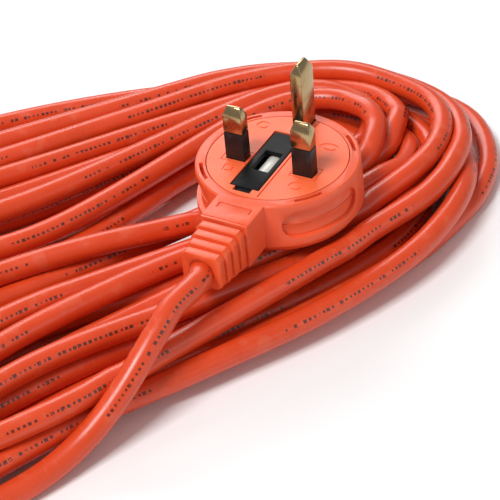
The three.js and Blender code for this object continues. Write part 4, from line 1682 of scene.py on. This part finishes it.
@dataclass(frozen=True)
class BodyShell:
    """The plug's moulded body, with the seams on its neck and the parting ridge in its grips."""

    neck_lines: tuple[tuple[float, float, float, float], ...] = (
        (0.0, -0.0222, 0.0106, 0.00035),
        (-0.0052, -0.0233, 0.00035, 0.0024),
        (0.0052, -0.0233, 0.00035, 0.0024),
        (0.0, -0.0291, 0.0170, 0.00030),
    )
    line_depth: float = 0.0003
    ridge_radius: float = 0.02412
    ridge_height: float = -0.0072
    ridge_size: Flat = (0.0012, 0.00025)
    ridge_span: float = math.radians(62)
    ridge_steps: int = 16
    grips: Flat = (math.radians(-30), math.radians(210))
    rounding: float = 0.00030

    def carve(self, shape: Shape) -> Shape:
        """Engraves the neck's seams and adds the ridges in the grips.

        Args:
            shape: The body's shape, which is freed.

        Returns:
            The new shape.
        """
        cutter = bmesh.new()
        for x, y, width, length in self.neck_lines:
            add_box(cutter, PLUG.matrix(), (x, y, 0.0), (width, length, 2 * self.line_depth))
        shape = carved(shape, cutter, "DIFFERENCE")
        return carved(shape, self.ridges(), "UNION")

    def ridges(self) -> Shape:
        """Makes the parting ridges: a small bar swept round the body's axis behind each grip.

        Returns:
            The ridges' shape.
        """
        shape = bmesh.new()
        depth, height = self.ridge_size
        for middle in self.grips:
            start = Matrix.Rotation(middle - self.ridge_span / 2, 4, "Z")
            centre = Matrix.Translation((0.0, PLUG.centre_y, self.ridge_height))
            place = Matrix.Translation((self.ridge_radius - depth / 2, 0.0, 0.0))
            upright = Matrix.Rotation(math.radians(90), 4, "X")
            size = Matrix.Diagonal((depth, height, 1.0, 1.0))
            matrix = PLUG.matrix() @ centre @ start @ place @ upright @ size
            made = bmesh.ops.create_grid(shape, x_segments=1, y_segments=1, size=0.5, matrix=matrix)
            face = made["verts"][0].link_faces[0]
            bmesh.ops.spin(
                shape,
                geom=[face, *face.edges, *face.verts],
                cent=PLUG.matrix() @ Vector((0.0, PLUG.centre_y, 0.0)),
                axis=(0.0, 0.0, 1.0),
                angle=self.ridge_span,
                steps=self.ridge_steps,
            )
        bmesh.ops.holes_fill(shape, edges=[edge for edge in shape.edges if edge.is_boundary], sides=0)
        return shape

    def build(self) -> Piece:
        """Makes the body."""
        return Dressed("plug_body", BODY_FINISH, self.rounding).build(self.carve)


INNER_NODES = (
    ("pin_bridge", BRIDGE_FINISH),
    ("fuse_clip_live", CLIP_FINISH),
    ("fuse_clip_load", CLIP_FINISH),
    ("brown_crimp", CLIP_FINISH),
    ("blue_crimp", CLIP_FINISH),
    ("brown_core_in_plug", BROWN_FINISH),
    ("blue_core_in_plug", BLUE_FINISH),
    ("sheath_in_plug", SHEATH_FINISH),
    ("fuse_wire", CAP_FINISH),
)


@dataclass(frozen=True)
class Plug:
    """The moulded plug: body, face plate, boot, pins with their sleeves, and the fuse in its carrier."""

    dressed: tuple[Dressed, ...] = (
        Dressed("cable_boot", BOOT_FINISH, 0.00040),
        Dressed("earth_pin", PIN_FINISH, 0.00030),
        Dressed("live_pin", PIN_FINISH, 0.00030),
        Dressed("neutral_pin", PIN_FINISH, 0.00030),
        Dressed("live_pin_sleeve", SLEEVE_FINISH, 0.00025),
        Dressed("neutral_pin_sleeve", SLEEVE_FINISH, 0.00025),
        Dressed("fuse_carrier", CARRIER_FINISH, 0.00018, Body.FUSE),
        Dressed("fuse_tube", CERAMIC_FINISH, 0.00010, Body.FUSE, 50.0),
        Dressed("fuse_cap_live", CAP_FINISH, 0.00010, Body.FUSE, 50.0),
        Dressed("fuse_cap_load", CAP_FINISH, 0.00010, Body.FUSE, 50.0),
    )

    def build(self) -> list[Piece]:
        """Makes the plug's pieces and finishes the nodes inside it.

        Returns:
            The pieces.
        """
        pieces = [look.build() for look in self.dressed]
        pieces += [BodyShell().build(), FacePlate().build()]
        for node, finish in INNER_NODES:
            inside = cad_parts[node]
            inside.data.materials.clear()
            inside.data.materials.append(finish.build(f"{node}_finish"))
        return pieces


def main() -> None:
    """Builds the scene: camera, flex, tie, far end, plug, then floor and light."""
    logging.basicConfig(level=logging.INFO, format="%(name)s: %(message)s")
    Viewpoint().build()
    flex, line = Flex().build()
    tie = Tie().build(line)
    far_end = FarEnd().build()
    plug = Plug().build()
    for piece in [flex, *tie, *far_end, *plug]:
        LOG.info("%s: %d faces", piece.name, len(piece.data.polygons))
    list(tie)
    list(far_end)
    Studio().build()


if __name__ == "__main__":
    main()
